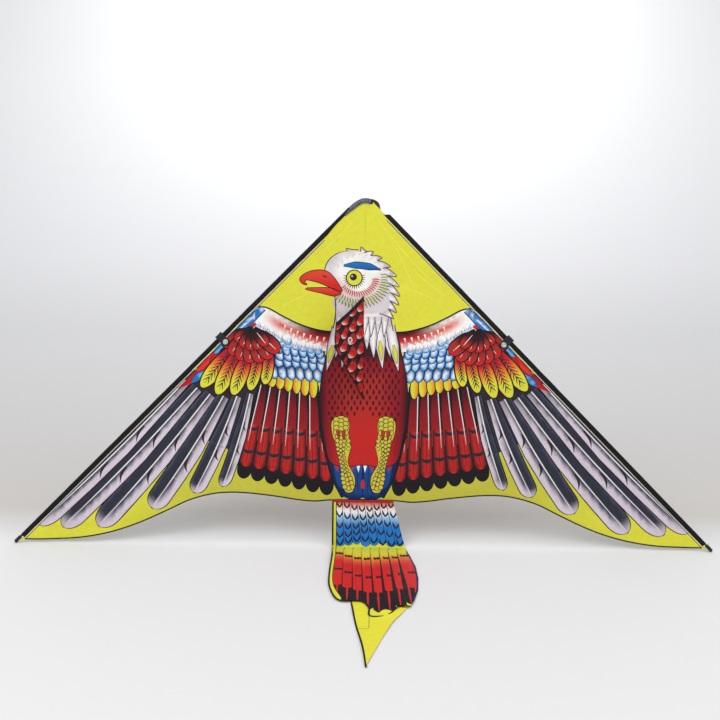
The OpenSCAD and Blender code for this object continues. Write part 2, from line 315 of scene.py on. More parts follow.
def primary(root, tip, half):
    """A long flight feather: slate on its outer half, plum to rose on its inner half."""
    feather = Feather(root, tip, half, bow=-5, root_share=0.55, shoulder=0.9)

    def outer(p):
        s, w = feather.place(p)
        base = ramp([(0, "slate"), (0.8, "slate"), (1, "slate_light")], w)
        return mix(base, INK["rose"], 0.8 * smooth(0.92, 1.0, s))

    def inner(p):
        s, w = feather.place(p)
        base = ramp([(-0.1, "plum"), (0.22, "slate_light"), (0.55, "rose"), (1, "rose")], -w)
        base = mix(base, INK["soft_black"], 0.5 * smooth(0.25, 0, s))
        return mix(base, INK["rose"], 0.9 * smooth(0.86, 0.98, s))

    art = [(feather.outline(2.2), plain("black"))]
    art += [(feather.outline(0, -1, 0.12), inner), (feather.outline(0, 0.12, 1), outer)]
    for s in (0.3, 0.55):
        hook = Feather(feather.point(s, -0.1), feather.point(s + 0.085, -0.9), 4.6, bow=4, root_share=0.9,
                       shoulder=0.15, pointed=True)
        art.append((hook.outline(), plain("soft_black")))
    art.append(drawn(feather.shaft(0.96), 3.0, "rachis", 1, 0.3))
    return art


def secondary(root, tip, half):
    """A red feather with a black end: narrow above with a pale shaft, broad below with a dark hook."""
    whole = Feather(root, tip, half, root_share=0.62, shoulder=0.9)
    upper = Feather(root, lerp(root, tip, 0.6), half - 1, root_share=0.62, shoulder=0.95)
    lower = Feather(lerp(root, tip, 0.42), lerp(root, tip, 0.87), half - 2, root_share=0.85, shoulder=0.85)
    stops = [(0, "maroon"), (0.5, "dark_red"), (1, "brick")]
    art = [(whole.outline(), plain("black")), (upper.outline(0, -1, 0.25), along_feather(upper, stops))]
    art.append((lower.outline(), across_feather(lower, [(0, "red"), (0.4, "brick"), (1, "maroon")])))
    for feather, s in ((lower, 0.04), (lower, 0.58)):
        bend = [feather.point(s, -0.95), feather.point(s + 0.06, -0.4), feather.point(s + 0.07, 0.3),
                feather.point(s + 0.01, 0.95)]
        art.append(drawn(curve(bend, 4), 8, "soft_black"))
    art.append(drawn([whole.point(0.2 * k, 0.3) for k in range(4)], 2.2, "rachis", 1, 0.2))
    return art + [drawn(lower.shaft(0.96, 0.2), 1.4, "maroon", 1, 0.4)]


def covert(root, tip, half):
    feather = Feather(root, tip, half, root_share=0.8, shoulder=0.55)
    art = [(feather.outline(2.2), plain("black"))]
    stops = [(-0.3, "yellow"), (0.35, "amber"), (0.95, "orange")]
    return art + [(feather.outline(), lambda p: ramp(stops, feather.place(p)[1]))]


def scale_feather(root, tip, half, soft=False):
    """A small blue feather with a white middle; a soft one fades to white at its root."""
    feather = Feather(root, tip, half, root_share=0.8, shoulder=0.45)

    def paint(p):
        s, w = feather.place(p)
        edge = max(abs(w), 1.5 * (s - 0.45))
        base = ramp([(0, "white"), (0.4, "pale"), (0.62, "sky"), (0.84, "blue"), (1, "deep_blue")], edge)
        if soft:
            return mix(INK["white"], base, smooth(0.3, 0.75, s))
        return mix(base, INK["slate"], 0.7 * smooth(0.45, 0.1, s))

    return outlined(feather, paint, 0.8 if soft else 1.9, "sky" if soft else "night")


def scale_row(start, end, sag, count, size, half, soft=False):
    """A row of scale feathers along a sagging line."""
    art = []
    for x, y in arc(start, end, sag, count - 1):
        art += scale_feather((x + 5, y + size / 2), (x - 3, y - size / 2), half, soft)
    return art


def flame(root, tip, half):
    """A broad feather that runs from red to yellow, with dark barbs."""
    feather = Feather(root, tip, half, root_share=0.6, shoulder=0.6)
    stops = [(0, "dark_red"), (0.3, "red"), (0.48, "orange"), (0.6, "amber"), (0.72, "yellow")]
    art = outlined(feather, along_feather(feather, stops), 3.2)
    art += barbs(feather, 8, 2.2, "soft_black", 0.62)
    return art + [drawn(feather.shaft(0.9), 2.0, "soft_black", 1, 0.3)]


def edge_feather(s, inset, length, half, ink, light):
    """A feather that lies along the leading edge."""
    root, tip = edge_point(s, inset), edge_point(s + length, inset - 5)
    feather = Feather(root, tip, half, root_share=0.7, shoulder=0.5)
    return outlined(feather, across_feather(feather, [(0, light), (0.4, ink), (1, ink)]), 1.6)


WING_TOP = [(58, 488), (100, 491), (147, 504), (190, 524), (222, 541), (246, 544), (262, 532)]
WING_BAND_LOW = [(280, 506), (250, 500), (208, 484), (165, 460), (120, 446), (60, 444)]


def wing_band():
    """The wing's upper edge: dark at its contour near the neck, a red bar, then white."""
    top = curve(WING_TOP, 4)

    def paint(p):
        near = min(math.hypot(p[0] - x, p[1] - y) for x, y in top)
        inner = ramp([(0, "black"), (5, "maroon"), (12, "dark_red"), (21, "red"), (32, "blush"),
                       (42, "white")], near)
        outer = ramp([(0, "mauve"), (6, "white"), (15, "blush"), (20, "beak"), (27, "blush"),
                       (37, "white")], near)
        shade = mix(outer, inner, smooth(205, 110, p[0]))
        return mix(shade, INK["white"], smooth(196, 240, p[0]))

    outline = top + curve(WING_BAND_LOW, 4)
    art = [(outline, paint), drawn(top, 3.4, "black", 1, 0.5)]
    for k, (x, y) in enumerate(arc((184, 498), (78, 470), 7, 7)):
        for dx, dy, size in ((0, 0, 1), (-6, -13, 0.8)):
            drop = Feather((x + dx - 2, y + dy + 5), (x + dx + 1, y + dy - 6), 2.4 * size, root_share=0.9,
                           shoulder=0.1, pointed=True)
            art.append((drop.outline(), plain("white" if k % 2 else "cream")))
    return art


def wing_hatch():
    """Fine dark blue strokes where the white band meets the scale feathers."""
    art = []
    line = curve([(256, 506), (214, 484), (172, 460), (130, 449), (98, 443)], 12)
    for k, (x, y) in enumerate(line):
        length = 5 + 3 * (k % 3)
        path = [(x + 3, y + length), (x + 1, y + 1), (x, y - 5)]
        art.append(drawn(path, 1.5, "deep_blue", 0.2, 0.2))
    return art


def wing_fan():
    """Red feathers that open like a fan from the wrist, with white shafts and black edges."""
    art = []
    wrist = (256, 494)
    for reach, first, step, count, half in ((80, -150, 18, 7, 16), (50, -146, 24, 5, 12)):
        for k in range(count):
            angle = math.radians(first + step * k)
            tip = (wrist[0] - reach * math.cos(angle), wrist[1] + reach * math.sin(angle))
            feather = Feather(wrist, tip, half, root_share=0.25, shoulder=0.72)
            stops = [(0, "black"), (0.4, "maroon"), (0.8, "brick"), (1, "red")]
            art += outlined(feather, along_feather(feather, stops), 3.2)
            art.append(drawn(feather.shaft(0.88, 0.25), 1.8, "rachis", 0.4, 0.5))
    return art


def wing_art():
    art = []
    tips = [(744, 38), (689, 33), (607, 36), (485, 79), (388, 115), (323, 130)]
    roots = [(411, 373), (384, 356), (354, 342), (323, 338), (292, 338), (262, 344)]
    halves = [22, 24, 25, 24, 19, 14]
    dark = [(208, 372), (230, 410), (300, 410), (352, 400), (400, 396), (436, 362), (560, 232), (500, 205),
            (350, 235), (282, 200)]
    art.append((dark, lambda p: mix(INK["soft_black"], INK["slate"], smooth(340, 240, p[1]))))
    art.append(([(90, 364), (246, 364), (276, 190), (76, 150)], plain("black")))
    for k in range(7):
        art += secondary((99 + 22.5 * k, 364), (82 + 32.6 * k, 112 + 6 * k), 17)
    for root, tip, half in reversed(list(zip(roots, tips, halves))):
        art += primary(root, tip, half)
    base = [(90, 455), (165, 468), (262, 512), (286, 490), (240, 440), (216, 430), (216, 378), (92, 372)]
    art.append((base, plain("deep_blue")))
    shoulder = [(252, 537), (430, 353), (380, 372), (330, 345), (300, 340), (250, 440), (250, 500)]
    art.append((shoulder, lambda p: ramp([(10, "dark_red"), (34, "red"), (60, "maroon")], edge_inset(*p))))
    for k in range(6):
        art += covert((118 + 18.5 * k, 392), (116 + 19.4 * k, 336 + 4.8 * k), 9.5)
    art += scale_row((207, 394), (106, 388), 0, 6, 30, 10)
    art += scale_row((214, 418), (98, 410), -2, 7, 28, 10)
    art += scale_row((232, 440), (98, 428), 2, 8, 28, 10)
    art += scale_row((252, 466), (102, 440), 6, 9, 28, 10)
    art += wing_band()
    art += scale_row((258, 490), (106, 448), 5, 10, 26, 10, True)
    art += scale_row((264, 506), (176, 468), 3, 6, 24, 9.5, True)
    art += wing_hatch()
    for s, inset, ink, light in ((512, 36, "blue", "sky"), (486, 27, "red", "beak"),
                                 (452, 34, "red", "orange"), (428, 26, "blue", "sky"),
                                 (398, 34, "red", "beak"), (360, 26, "blue", "white")):
        art += edge_feather(s, inset, 86, 9, ink, light)
    art.append((loop([(330, 446), (262, 482), (222, 452), (216, 398), (262, 386),
                       (336, 398)], 3), plain("black")))
    shafts = [((300, 452), (374, 358), 17), ((216, 446), (228, 366), 13), ((288, 446), (338, 342), 17),
              ((240, 444), (262, 352), 14), ((264, 444), (301, 341), 16)]
    for root, tip, half in shafts:
        art += flame(root, tip, half)
    return art + wing_fan()


# ---------------------------------------------------------------- The print: body, legs and head

BODY = [(-76, 190), (-90, 245), (-100, 310), (-98, 370), (-84, 440), (-60, 492), (60, 492), (84, 440),
        (98, 370), (100, 310), (90, 245), (76, 190), (40, 180), (0, 184), (-40, 180)]


def body_art():
    """The red breast with rows of dark flecks, and the blue belly below it."""
    side = [(101, 345), (99, 300), (92, 250), (80, 200), (66, 150), (46, 108)]
    art = []
    for sign in (-1, 1):
        art.append(drawn([(sign * x, y) for x, y in curve(side, 3)], 14, "black", 0.5, 0.5))
    return art + belly_art() + breast_art()


def belly_art():
    """Blue feathers under the breast, deepest at the middle."""
    outline = [(-82, 200), (-66, 148), (-50, 115), (-24, 103), (0, 108), (24, 103), (50, 115), (66, 148),
                (82, 200)]
    art = [(curve(outline, 3), plain("night"))]
    for x, top, low, half in ((-58, 205, 124, 15), (58, 205, 124, 15), (-38, 200, 106, 14),
                              (38, 200, 106, 14), (-14, 200, 104, 13), (14, 200, 104, 13)):
        feather = Feather((x, top), (x * 0.72, low), half, root_share=0.9, shoulder=0.6)
        stops = [(0, "blue"), (0.4, "deep_blue"), (0.8, "deep_blue"), (1, "night")]
        art += outlined(feather, along_feather(feather, stops), 1.6, "night")
        art.append(drawn(feather.shaft(0.9, 0.2), 1.8, "night", 1, 0.3))
    art.append(drawn([(0, 190), (0, 150), (0, 112)], 6, "night", 0.6, 0.3))
    for x, ink in ((-62, "red"), (62, "red"), (-26, "red"), (22, "red"), (-11, "white"), (5, "white"),
                   (-42, "rose"), (42, "rose")):
        leaf = Feather((x, 192), (x * 0.94, 166), 5, root_share=1, shoulder=0.2, pointed=True)
        art.append((leaf.outline(), plain(ink)))
    drop = Feather((0, 150), (0, 128), 4.5, root_share=0.3, shoulder=0.5)
    return art + [(drop.outline(), plain("red"))]


def breast_art():
    def breast_paint(p):
        shade = max(abs(p[0]) / 100, smooth(330, 450, p[1]))
        base = ramp([(0.2, "brick"), (0.8, "dark_red"), (1, "maroon")], shade)
        return mix(base, INK["red"], 0.7 * smooth(340, 250, p[1]) * smooth(84, 50, abs(p[0])))

    ring = loop(BODY, 3)
    art = [([(x * 1.025, 330 + (y - 330) * 1.012) for x, y in ring], plain("black")), (ring, breast_paint)]
    rows, columns, step = 15, 13, 12.5
    for row in range(rows):
        v = 464 - step * row
        reach = 90 if v > 290 else 90 - 0.2 * (290 - v)
        for k in range(columns):
            x = (k - (columns - 1) / 2 + 0.5 * (row % 2)) * reach / 6.2
            jitter = noise.noise((row * 2.3, k * 1.9, 8.0))
            if abs(x) > reach - 3 or v + 8 * jitter < 306 - 0.4 * abs(x):
                continue
            x, size = x + 3 * jitter, 12 + 3 * jitter - 3 * smooth(360, 300, v)
            fleck = Feather((x, v + size / 2), (x, v - size / 2), 2.6, root_share=0.3, shoulder=0.4)
            art.append((fleck.outline(), plain("maroon")))
            art.append(drawn([(x - 4, v - 1), (x, v - size / 2 - 2), (x + 4, v - 1)], 1.5, "black"))
    return art


def leg_art():
    """A scaly yellow leg and foot, on the right."""
    foot = [(33, 280), (45, 294), (62, 292), (73, 281), (72, 256), (63, 230), (56, 202), (51, 174),
            (46, 138), (38, 121), (24, 122), (18, 140), (21, 160), (35, 186), (32, 210), (28, 224), (34, 246)]
    art = [(loop([(50 + (x - 50) * 1.08, 205 + (y - 205) * 1.02) for x, y in foot], 3), plain("black"))]
    art.append((loop(foot, 3), plain("scale")))
    for k in range(3):
        art.append((disc((34, 238 - 9 * k), 5, 1.0, 9), plain("soft_black")))
        art.append((disc((34, 238 - 9 * k), 4, 1.0, 9), plain("scale")))
    rows = 17
    for row in range(rows):
        v = 283 - 9.6 * row
        middle = 52 if v > 210 else 52 - 0.24 * (210 - v)
        half = 15 if v > 245 else 11 - 4 * smooth(240, 195, v) + 5 * smooth(175, 145, v)
        for k in (-1, 0, 1):
            cell = (middle + k * half * 0.72, v + 3 * abs(k))
            art.append((disc(cell, half * 0.4 + 1.7, 1.0, 9), plain("soft_black")))
            art.append((disc(cell, half * 0.4 + 0.1, 1.0, 9), plain("scale")))
    for x in (46, 58):
        claw = Feather((x, 262), (x - 2, 240), 4, root_share=1, shoulder=0.1, pointed=True)
        art += outlined(claw, plain("claw"), 1.4)
    return art


def pale_feather_paint(feather):
    """White in the middle, mauve towards the edges and the root."""
    def paint(p):
        s, w = feather.place(p)
        base = ramp([(0.2, "white"), (1, "mauve")], abs(w))
        return mix(base, INK["mauve"], 0.5 * smooth(0.35, 0, s))
    return paint


def neck_art():
    """The pale neck, ending in long pointed feathers over the breast."""
    tips = [(-86, 400, 470, 11), (-66, 430, 480, 9), (60, 432, 482, 9), (79, 400, 474, 11),
             (-51, 406, 486, 12), (42, 406, 486, 12), (-30, 430, 488, 10), (22, 430, 488, 10),
             (-12, 448, 490, 9), (6, 450, 492, 9)]
    art = []
    for x, low, high, half in tips:
        root = (x * 0.74, high + 30)
        long_one = Feather(root, (x, low), half, root_share=0.9, shoulder=0.45, pointed=True)
        art += outlined(long_one, pale_feather_paint(long_one), 1.9, "soft_black")
        if half > 10:
            insert = Feather(
                long_one.point(0.42, 0), long_one.point(0.84, 0), 5, root_share=0.3, shoulder=0.4, pointed=True)
            art += outlined(insert, plain("yellow"), 1.3, "olive")
    neck = [(-68, 566), (-66, 535), (-70, 505), (-40, 500), (0, 505), (40, 500), (64, 505), (58, 535),
            (60, 566)]

    def paint(p):
        return mix(INK["white"], INK["mauve"], 0.2 + 0.7 * smooth(20, 66, abs(p[0] + 3)))

    art.append((loop(neck, 3), paint))
    for side in ([(-69, 575), (-67, 535), (-72, 496)], [(62, 560), (59, 530), (66, 492)]):
        art.append(drawn(curve(side, 4), 2.2, "soft_black", 1, 1))
    for k in range(8):
        x = -60 + 15 * k
        lock = Feather((x + 2, 528), (x, 484 - 6 * (k % 2)), 8, root_share=1, shoulder=0.15, pointed=True)
        art += outlined(lock, pale_feather_paint(lock), 1.4, "soft_black")
    art.append(([(-66, 560), (-64, 524), (58, 524), (60, 560)], paint))
    return art


EYE = (-25, 613)


def crown_paint(p):
    """White with mauve shading, pink under the eye and moss green below that."""
    shade = 0.5 + 0.5 * noise.noise((p[0] * 0.045, p[1] * 0.045, 3.0))
    base = mix(INK["white"], INK["cream"], smooth(0.3, 0.8, shade))
    base = mix(base, INK["mauve"], 0.6 * smooth(44, 72, math.hypot(p[0] + 12, p[1] - 618)))
    away = math.hypot(p[0] - EYE[0] - 8, (p[1] - EYE[1]) * 1.08)
    below = smooth(8, -12, p[1] - EYE[1])
    base = mix(base, INK["blush"], 0.6 * below * smooth(28, 40, away) * smooth(58, 48, away))
    return mix(base, INK["moss"], 0.55 * below * smooth(54, 62, away) * smooth(80, 68, away))


def head_art():
    """The head in profile, facing the viewer's left: crown, tufts, beak, brow and eye."""
    art = []
    tufts = [((-70, 652), (-84, 640)), ((-46, 664), (-66, 668)), ((-20, 668), (-44, 680)),
             ((2, 664), (-10, 684)), ((40, 540), (66, 520)), ((46, 556), (73, 534)), ((50, 574), (78, 552)),
             ((50, 592), (80, 572)), ((46, 610), (78, 594)), ((40, 628), (72, 618)), ((28, 642), (58, 640)),
             ((14, 654), (38, 660)), ((0, 660), (18, 674))]
    for root, tip in tufts:
        tuft = Feather(root, tip, 9.5, bow=2, root_share=1, shoulder=0.1, pointed=True)
        art += outlined(tuft, pale_feather_paint(tuft), 2.0, "soft_black")
    skull = [(-66, 548), (-72, 580), (-88, 610), (-93, 634), (-82, 656), (-60, 671), (-34, 676), (-6, 672),
             (22, 658), (42, 634), (54, 604), (56, 572), (52, 540), (0, 530), (-50, 532)]
    art.append((loop(skull, 3), crown_paint))
    art.append(drawn(curve(skull[:7], 4), 2.2, "soft_black", 1, 0.2))
    for k in range(12):
        angle = math.radians(150 - 15 * k)
        start = (-16 + 50 * math.cos(angle), 610 + 52 * math.sin(angle))
        end = (start[0] + 11 * math.cos(angle - 0.7), start[1] + 11 * math.sin(angle - 0.7))
        art.append(drawn(arc(start, end, 1.5, 4), 1.4, "mauve"))
    return art + hatch_art() + beak_art() + eye_art() + brow_art()


def hatch_art():
    """Rows of short strokes round the eye, red above and green below."""
    art = []
    for radius, first, last, step, length, width, ink in (
            (34, 212, 368, 7.5, 15, 2.6, "hatch_red"), (53, 212, 376, 6.5, 14, 2.4, "hatch_green"),
            (67, 226, 360, 6.5, 12, 1.8, "soft_black")):
        for k in range(int((last - first) / step)):
            angle = math.radians(first + step * k)
            way = (math.cos(angle), math.sin(angle) * 0.92)
            start = (EYE[0] + 8 + way[0] * radius, EYE[1] + way[1] * radius)
            end = (start[0] + way[0] * length + 3, start[1] + way[1] * length)
            art.append(drawn(arc(start, end, 1.5, 3), width, ink, 0.8, 0.2))
    return art


def beak_art():
    upper = [(-150, 610), (-139, 621), (-122, 628), (-103, 630), (-86, 626), (-72, 613), (-60, 596),
              (-53, 582), (-68, 585), (-84, 593), (-104, 601), (-122, 606), (-136, 608), (-139, 600),
              (-133, 597), (-144, 599)]
    lower = [(-138, 587), (-108, 589), (-82, 589), (-60, 583), (-56, 579), (-70, 571), (-100, 578)]
    art = []
    for outline, top, low in ((lower, 590, 570), (upper, 630, 588)):
        ring = loop(outline, 3)
        art.append((grown(ring, 1.9), plain("black")))
        art.append((ring, lambda p, top=top, low=low: mix(INK["red"], INK["beak"], smooth(low, top, p[1]))))
    art.append(drawn(arc((-99, 617), (-88, 613), 1, 4), 3.4, "maroon"))
    return art + [drawn([(-86, 591), (-70, 588), (-57, 582)], 1.8, "maroon")]


def brow_art():
    """A plain brow, one tapered stroke low over the eye."""
    path = arc((-50, 641), (36, 632), 5, 10)

    def paint(p):
        return mix(INK["blue"], INK["deep_blue"], smooth(646, 626, p[1]))

    return [drawn(path, 17, "black", 0.3, 0.2), (stroke(path, 13.6, 0.24, 0.12), paint)]


def eye_art():
    art = []
    for k in range(17):
        angle = math.radians(168 + 13 * k)
        way = (math.cos(angle), math.sin(angle))
        path = [(EYE[0] + way[0] * r, EYE[1] + way[1] * r) for r in (17, 22, 27)]
        art.append(drawn(path, 2.0, "black", 1, 0.1))
    art += [(disc(EYE, 19.5), plain("black")), (disc(EYE, 17), plain("yellow"))]
    art += [(disc((-27, 615), 8.2), plain("soft_black")), (disc((-30, 617), 1.8, 1, 8), plain("pale"))]
    return art


def seam_and_fold_highlight_art():
    """The centre seam, and painted highlights along a few soft folds in the plain cloth above the head."""
    art = [drawn([(0, 790), (0, 740), (0, 684)], 1.3, "shade_and_seam_yellow")]
    for start, end, bow in (((22, 756), (176, 586), -6), ((60, 700), (118, 566), 5),
                            ((-30, 744), (-112, 664), 4), ((104, 640), (200, 566), -4),
                            ((-96, 600), (-190, 548), 3), ((74, 596), (170, 560), 3)):
        art.append(drawn(arc(start, end, bow, 5), 2.6, "fold_highlight", 0.2, 0.2))
    return art


def sail_art():
    """All layers drawn on the sail, lowest first, with both wings: its print, painted highlights on folds, and a
    painted highlight and shadow along each sleeve's lip.
    """
    wing = wing_art()
    leg = leg_art()
    lip_highlight_and_shadow = []
    # Along each sleeve's lip: a cream line is a painted highlight, and a dark line just outside it is painted
    # shadow on the sail.
    for side in (-1, 1):
        for inset, width, ink in ((12.9, 1.4, "cream"), (14.9, 1.6, "soft_black")):
            ends = [edge_point(84 if side > 0 else 150, inset), edge_point(1121, inset)]
            line = [(side * x, y) for x, y in (lerp(*ends, k / 24) for k in range(25))]
            lip_highlight_and_shadow.append(drawn(line, width, ink, 1, 1))
    bird = wing + mirrored(wing) + body_art() + leg + mirrored(leg) + neck_art() + head_art()
    return seam_and_fold_highlight_art() + bird + lip_highlight_and_shadow


# ---------------------------------------------------------------- The print: tail and keel

TAIL_COLUMNS = 8


def tail_middle(k, t):
    """The middle of a column of the tail's print."""
    left, right = tail_side(t)
    return left + 9 + (right - left - 8) * (k + 0.5) / TAIL_COLUMNS


def tail_column(k, top, low, end, grow=0.6, **shape):
    """A feather down column k from one height to another, as broad as the column is at end."""
    half = (tail_middle(1, end) - tail_middle(0, end)) / 2 + grow
    return Feather((tail_middle(k, top), top), (tail_middle(k, low), low), half, **shape)


def tail_mark(k, t, high):
    """A dark ragged bar across column k."""
    middle, half = tail_middle(k, t), (tail_middle(1, t) - tail_middle(0, t)) / 2
    low = ((-0.9, -0.2), (-0.55, -1), (-0.3, -0.25), (0, -1), (0.3, -0.25), (0.6, -1), (0.9, -0.1))
    top = ((0.9, 1.2), (0.45, 0.5), (0, 0.8), (-0.45, 0.4), (-0.9, 1.1))
    edges = [[(middle + w * half, t + d * high) for w, d in edge] for edge in (low, top)]
    return curve(edges[0], 2) + curve(edges[1], 2), plain("black")


def tail_upper_art():
    """Columns that run from red through white and pale blue to blue, each with thick dark V marks."""
    stops = [(0, "bright_blue"), (44, "bright_blue"), (60, "sky"), (72, "pale"), (80, "white"), (90, "blush"),
             (99, "red")]
    art = []
    for k in range(TAIL_COLUMNS):
        column = tail_column(k, 112, -4 + 3 * (k % 3), 50, shoulder=0.9, root_share=1)
        art += [(column.outline(1.3), plain("night")), (column.outline(), lambda p: ramp(stops, p[1]))]
        for row, t in enumerate((90, 70, 50, 31, 12)):
            t += 5 * math.cos(k * 0.9 + row) - 2
            middle, half = tail_middle(k, t), (tail_middle(1, t) - tail_middle(0, t)) / 2
            for side in (-1, 1):
                path = [(middle + side * 0.8 * half, t + 8), (middle + side * 0.6 * half, t), (middle, t - 7)]
                ink = "soft_black" if row < 4 else "night"
                art.append(drawn(path, 4.4, ink, 0.3, 0.7))
    return art


def tail_fan_art():
    """A yellow band, then red feathers with two rows of ragged dark marks, and black ends."""
    whole = [(tail_side(t)[0] + 9, t) for t in range(0, -250, -15)]
    whole += [(tail_side(t)[1] + 4, t) for t in range(-240, 15, 15)]
    art = [(whole, lambda p: ramp([(-95, "red"), (-72, "beak"), (-55, "amber"), (-42, "yellow")], p[1]))]
    for k in range(TAIL_COLUMNS):
        swell = math.sin(math.pi * (k + 0.3) / 8)
        first, second = -45 - 33 * swell, -132 - 42 * swell
        low_end = -338 + 9 * abs(k - 4.2) ** 1.3
        stops = [(first - 48, "red"), (first - 26, "beak"), (first - 10, "orange"), (first + 6, "amber"),
                 (first + 20, "yellow")]
        black = tail_column(k, -20, low_end, -150, 0.8, shoulder=0.92, root_share=1)
        red = tail_column(k, -20, -212 - 36 * swell, -150, 0.3, shoulder=0.97, root_share=1)
        art += [(black.outline(), plain("black")), (red.outline(), lambda p, stops=stops: ramp(stops, p[1]))]
        art.append(drawn(black.shaft(0.98, 0.6), 4.0, "red", 0.7, 0.4))
        art += [tail_mark(k, first, 8.5), tail_mark(k, second, 8)]
        for t in range(-10, -330, -40):
            side = tail_middle(k, t) + (tail_middle(1, t) - tail_middle(0, t)) / 2
            low = tail_middle(k, t - 40) + (tail_middle(1, t - 40) - tail_middle(0, t - 40)) / 2
            art.append(drawn([(side, t), ((side + low) / 2, t - 20), (low, t - 40)], 1.5, "maroon", 1, 1))
    return art


def tail_art():
    margin = curve([(-65, 100), (-64, -60), (-66, -160), (-61, -222), (-43, -279)], 5)
    # A dark navy stroke down the fan's right edge is painted shade where that edge curls under.
    shade = curve([(99, -30), (107, -60), (117, -110), (120, -170), (117, -230), (106, -282)], 4)
    art = tail_fan_art() + tail_upper_art()
    art.append(drawn(shade, 7, "night", 0.2, 0.6))
    art.append(drawn(margin, 9, "ground", 1, 1))
    art.append(drawn([(x + 5, y) for x, y in margin], 1.6, "black", 1, 1))
    return art


def tail_side(t):
    """The left and right edge of the tail at a height t, measured through the bend and along the floor."""
    if t > BEND_V:
        return -TAIL_HALF, TAIL_HALF + (TAIL_RIGHT_BEND - TAIL_HALF) * (TAIL_TOP - t) / (TAIL_TOP - BEND_V)
    y = t - BEND_V
    return -69, TAIL_RIGHT_BEND + 22 * smooth(0, -150, y) - 8 * smooth(-200, -290, y)


def keel_art():
    """Large ragged red feathers with white tips and black shadows, hanging towards the keel's point."""
    art = []
    for row in range(4):
        for k in range(8):
            jag = noise.noise((row * 3.1, k * 1.7, 4.0))
            rho, v = 82 - 23 * row + 6 * jag, 352 + 32 * k + 15 * (row % 2) + 8 * jag
            feather = Feather((rho - 10, v + 22), (rho + 8, v - 22), 16, bow=-3, root_share=0.7, shoulder=0.3)
            stops = [(0, "black"), (0.3, "maroon"), (0.5, "brick"), (0.8, "red"), (0.95, "blush"),
                      (1, "white")]
            art += outlined(feather, along_feather(feather, stops), 4.2)
            art += barbs(feather, 3, 1.3, "maroon", 0.7)
            shadow = Feather(
                feather.point(0.1, 0.8), feather.point(0.9, 1.05), 5, root_share=0.6, shoulder=0.4, pointed=True)
            art.append((shadow.outline(), plain("black")))
    return art


# ---------------------------------------------------------------- Meshes

def new_object(name, mesh, material, smooth_faces=True):
    mesh.materials.append(material)
    for face in mesh.polygons:
        face.use_smooth = smooth_faces
    piece = bpy.data.objects.new(name, mesh)
    bpy.context.scene.collection.objects.link(piece)
    return piece


def inside(outline, x, y):
    hit = False
    for (x0, y0), (x1, y1) in zip(outline, outline[1:] + outline[:1]):
        if (y0 > y) != (y1 > y) and x < x0 + (y - y0) * (x1 - x0) / (y1 - y0):
            hit = not hit
    return hit


def printed_sheet(name, cut, art, ground, place, step, material):
    """One sheet of cloth, divided along the edges of its print, with its inks at its faces' corners."""
    xs, ys = [x for x, _ in cut], [y for _, y in cut]
    low, high = (min(xs), min(ys)), (max(xs), max(ys))
    layers = [(list(cut), ground)]
    for outline, paint in art:
        across = [x for x, _ in outline]
        if max(across) > low[0] and min(across) < high[0]:
            layers.append((list(outline), paint))
    points, faces = [], []
    for outline, _ in layers:
        ring = outline if is_ccw(outline) else outline[::-1]
        faces.append(list(range(len(points), len(points) + len(ring))))
        points += [Vector(p) for p in ring]
    rows = int((high[1] - low[1]) / step)
    for row in range(rows + 1):
        y = low[1] + row * step
        for column in range(int((high[0] - low[0]) / step) + 1):
            x = low[0] + (column + 0.5 * (row % 2)) * step
            if inside(cut, x, y):
                points.append(Vector((x, y)))
    found, _, triangles, _, _, owners = delaunay_2d_cdt(points, [], faces, 1, 0.02)
    kept = []
    for tri, own in zip(triangles, owners):
        if 0 in own:
            middle = sum((found[i] for i in tri), Vector((0, 0))) / 3
            top = next((k for k in sorted(own, reverse=True) if inside(layers[k][0], *middle)), 0)
            kept.append((tri, top))
    used = sorted({i for tri, _ in kept for i in tri})
    index = {old: new for new, old in enumerate(used)}
    mesh = bpy.data.meshes.new(name)
    mesh.from_pydata([place(*found[i]) for i in used], [], [[index[i] for i in tri] for tri, _ in kept])
    inks = mesh.color_attributes.new("ink", "FLOAT_COLOR", "CORNER")
    cloth = mesh.uv_layers.new(name="cloth")
    corner = 0
    for tri, owner in kept:
        paint = layers[owner][1]
        for i in tri:
            p = (found[i][0], found[i][1])
            inks.data[corner].color = (*paint(p), 1)
            cloth.data[corner].uv = (p[0] * 0.01, p[1] * 0.01)
            corner += 1
    return new_object(name, mesh, material)


def sweep(name, rings, material, closed_ends=True):
    """A closed skin over rings of points, with u along the sweep and v round it, in units of 10 mm."""
    count = len(rings[0])
    verts = [p for ring in rings for p in ring]
    faces, uvs = [], []
    along = [0.0]
    for a, b in zip(rings, rings[1:]):
        along.append(along[-1] + (b[0] - a[0]).length / (10 * MM))
    around = [0.0]
    for k in range(count):
        around.append(around[-1] + (rings[0][(k + 1) % count] - rings[0][k]).length / (10 * MM))
    for i in range(len(rings) - 1):
        for k in range(count):
            j = (k + 1) % count
            faces.append((i * count + k, i * count + j, (i + 1) * count + j, (i + 1) * count + k))
            low, high = along[i], along[i + 1]
            uvs += [(low, around[k]), (low, around[k + 1]), (high, around[k + 1]), (high, around[k])]
    if closed_ends:
        last = (len(rings) - 1) * count
        faces.append(tuple(range(count - 1, -1, -1)))
        faces.append(tuple(range(last, last + count)))
        uvs += [(0, 0)] * (2 * count)
    mesh = bpy.data.meshes.new(name)
    mesh.from_pydata(verts, [], faces)
    layer = mesh.uv_layers.new(name="cloth")
    for item, uv in zip(layer.data, uvs):
        item.uv = uv
    return new_object(name, mesh, material)


def way_along(path, i):
    """The direction of a 2-D path at its point i, and the normal to its left."""
    before, after = path[max(0, i - 1)], path[min(len(path) - 1, i + 1)]
    dx, dy = after[0] - before[0], after[1] - before[1]
    size = math.hypot(dx, dy) or 1
    return (dx / size, dy / size), (-dy / size, dx / size)


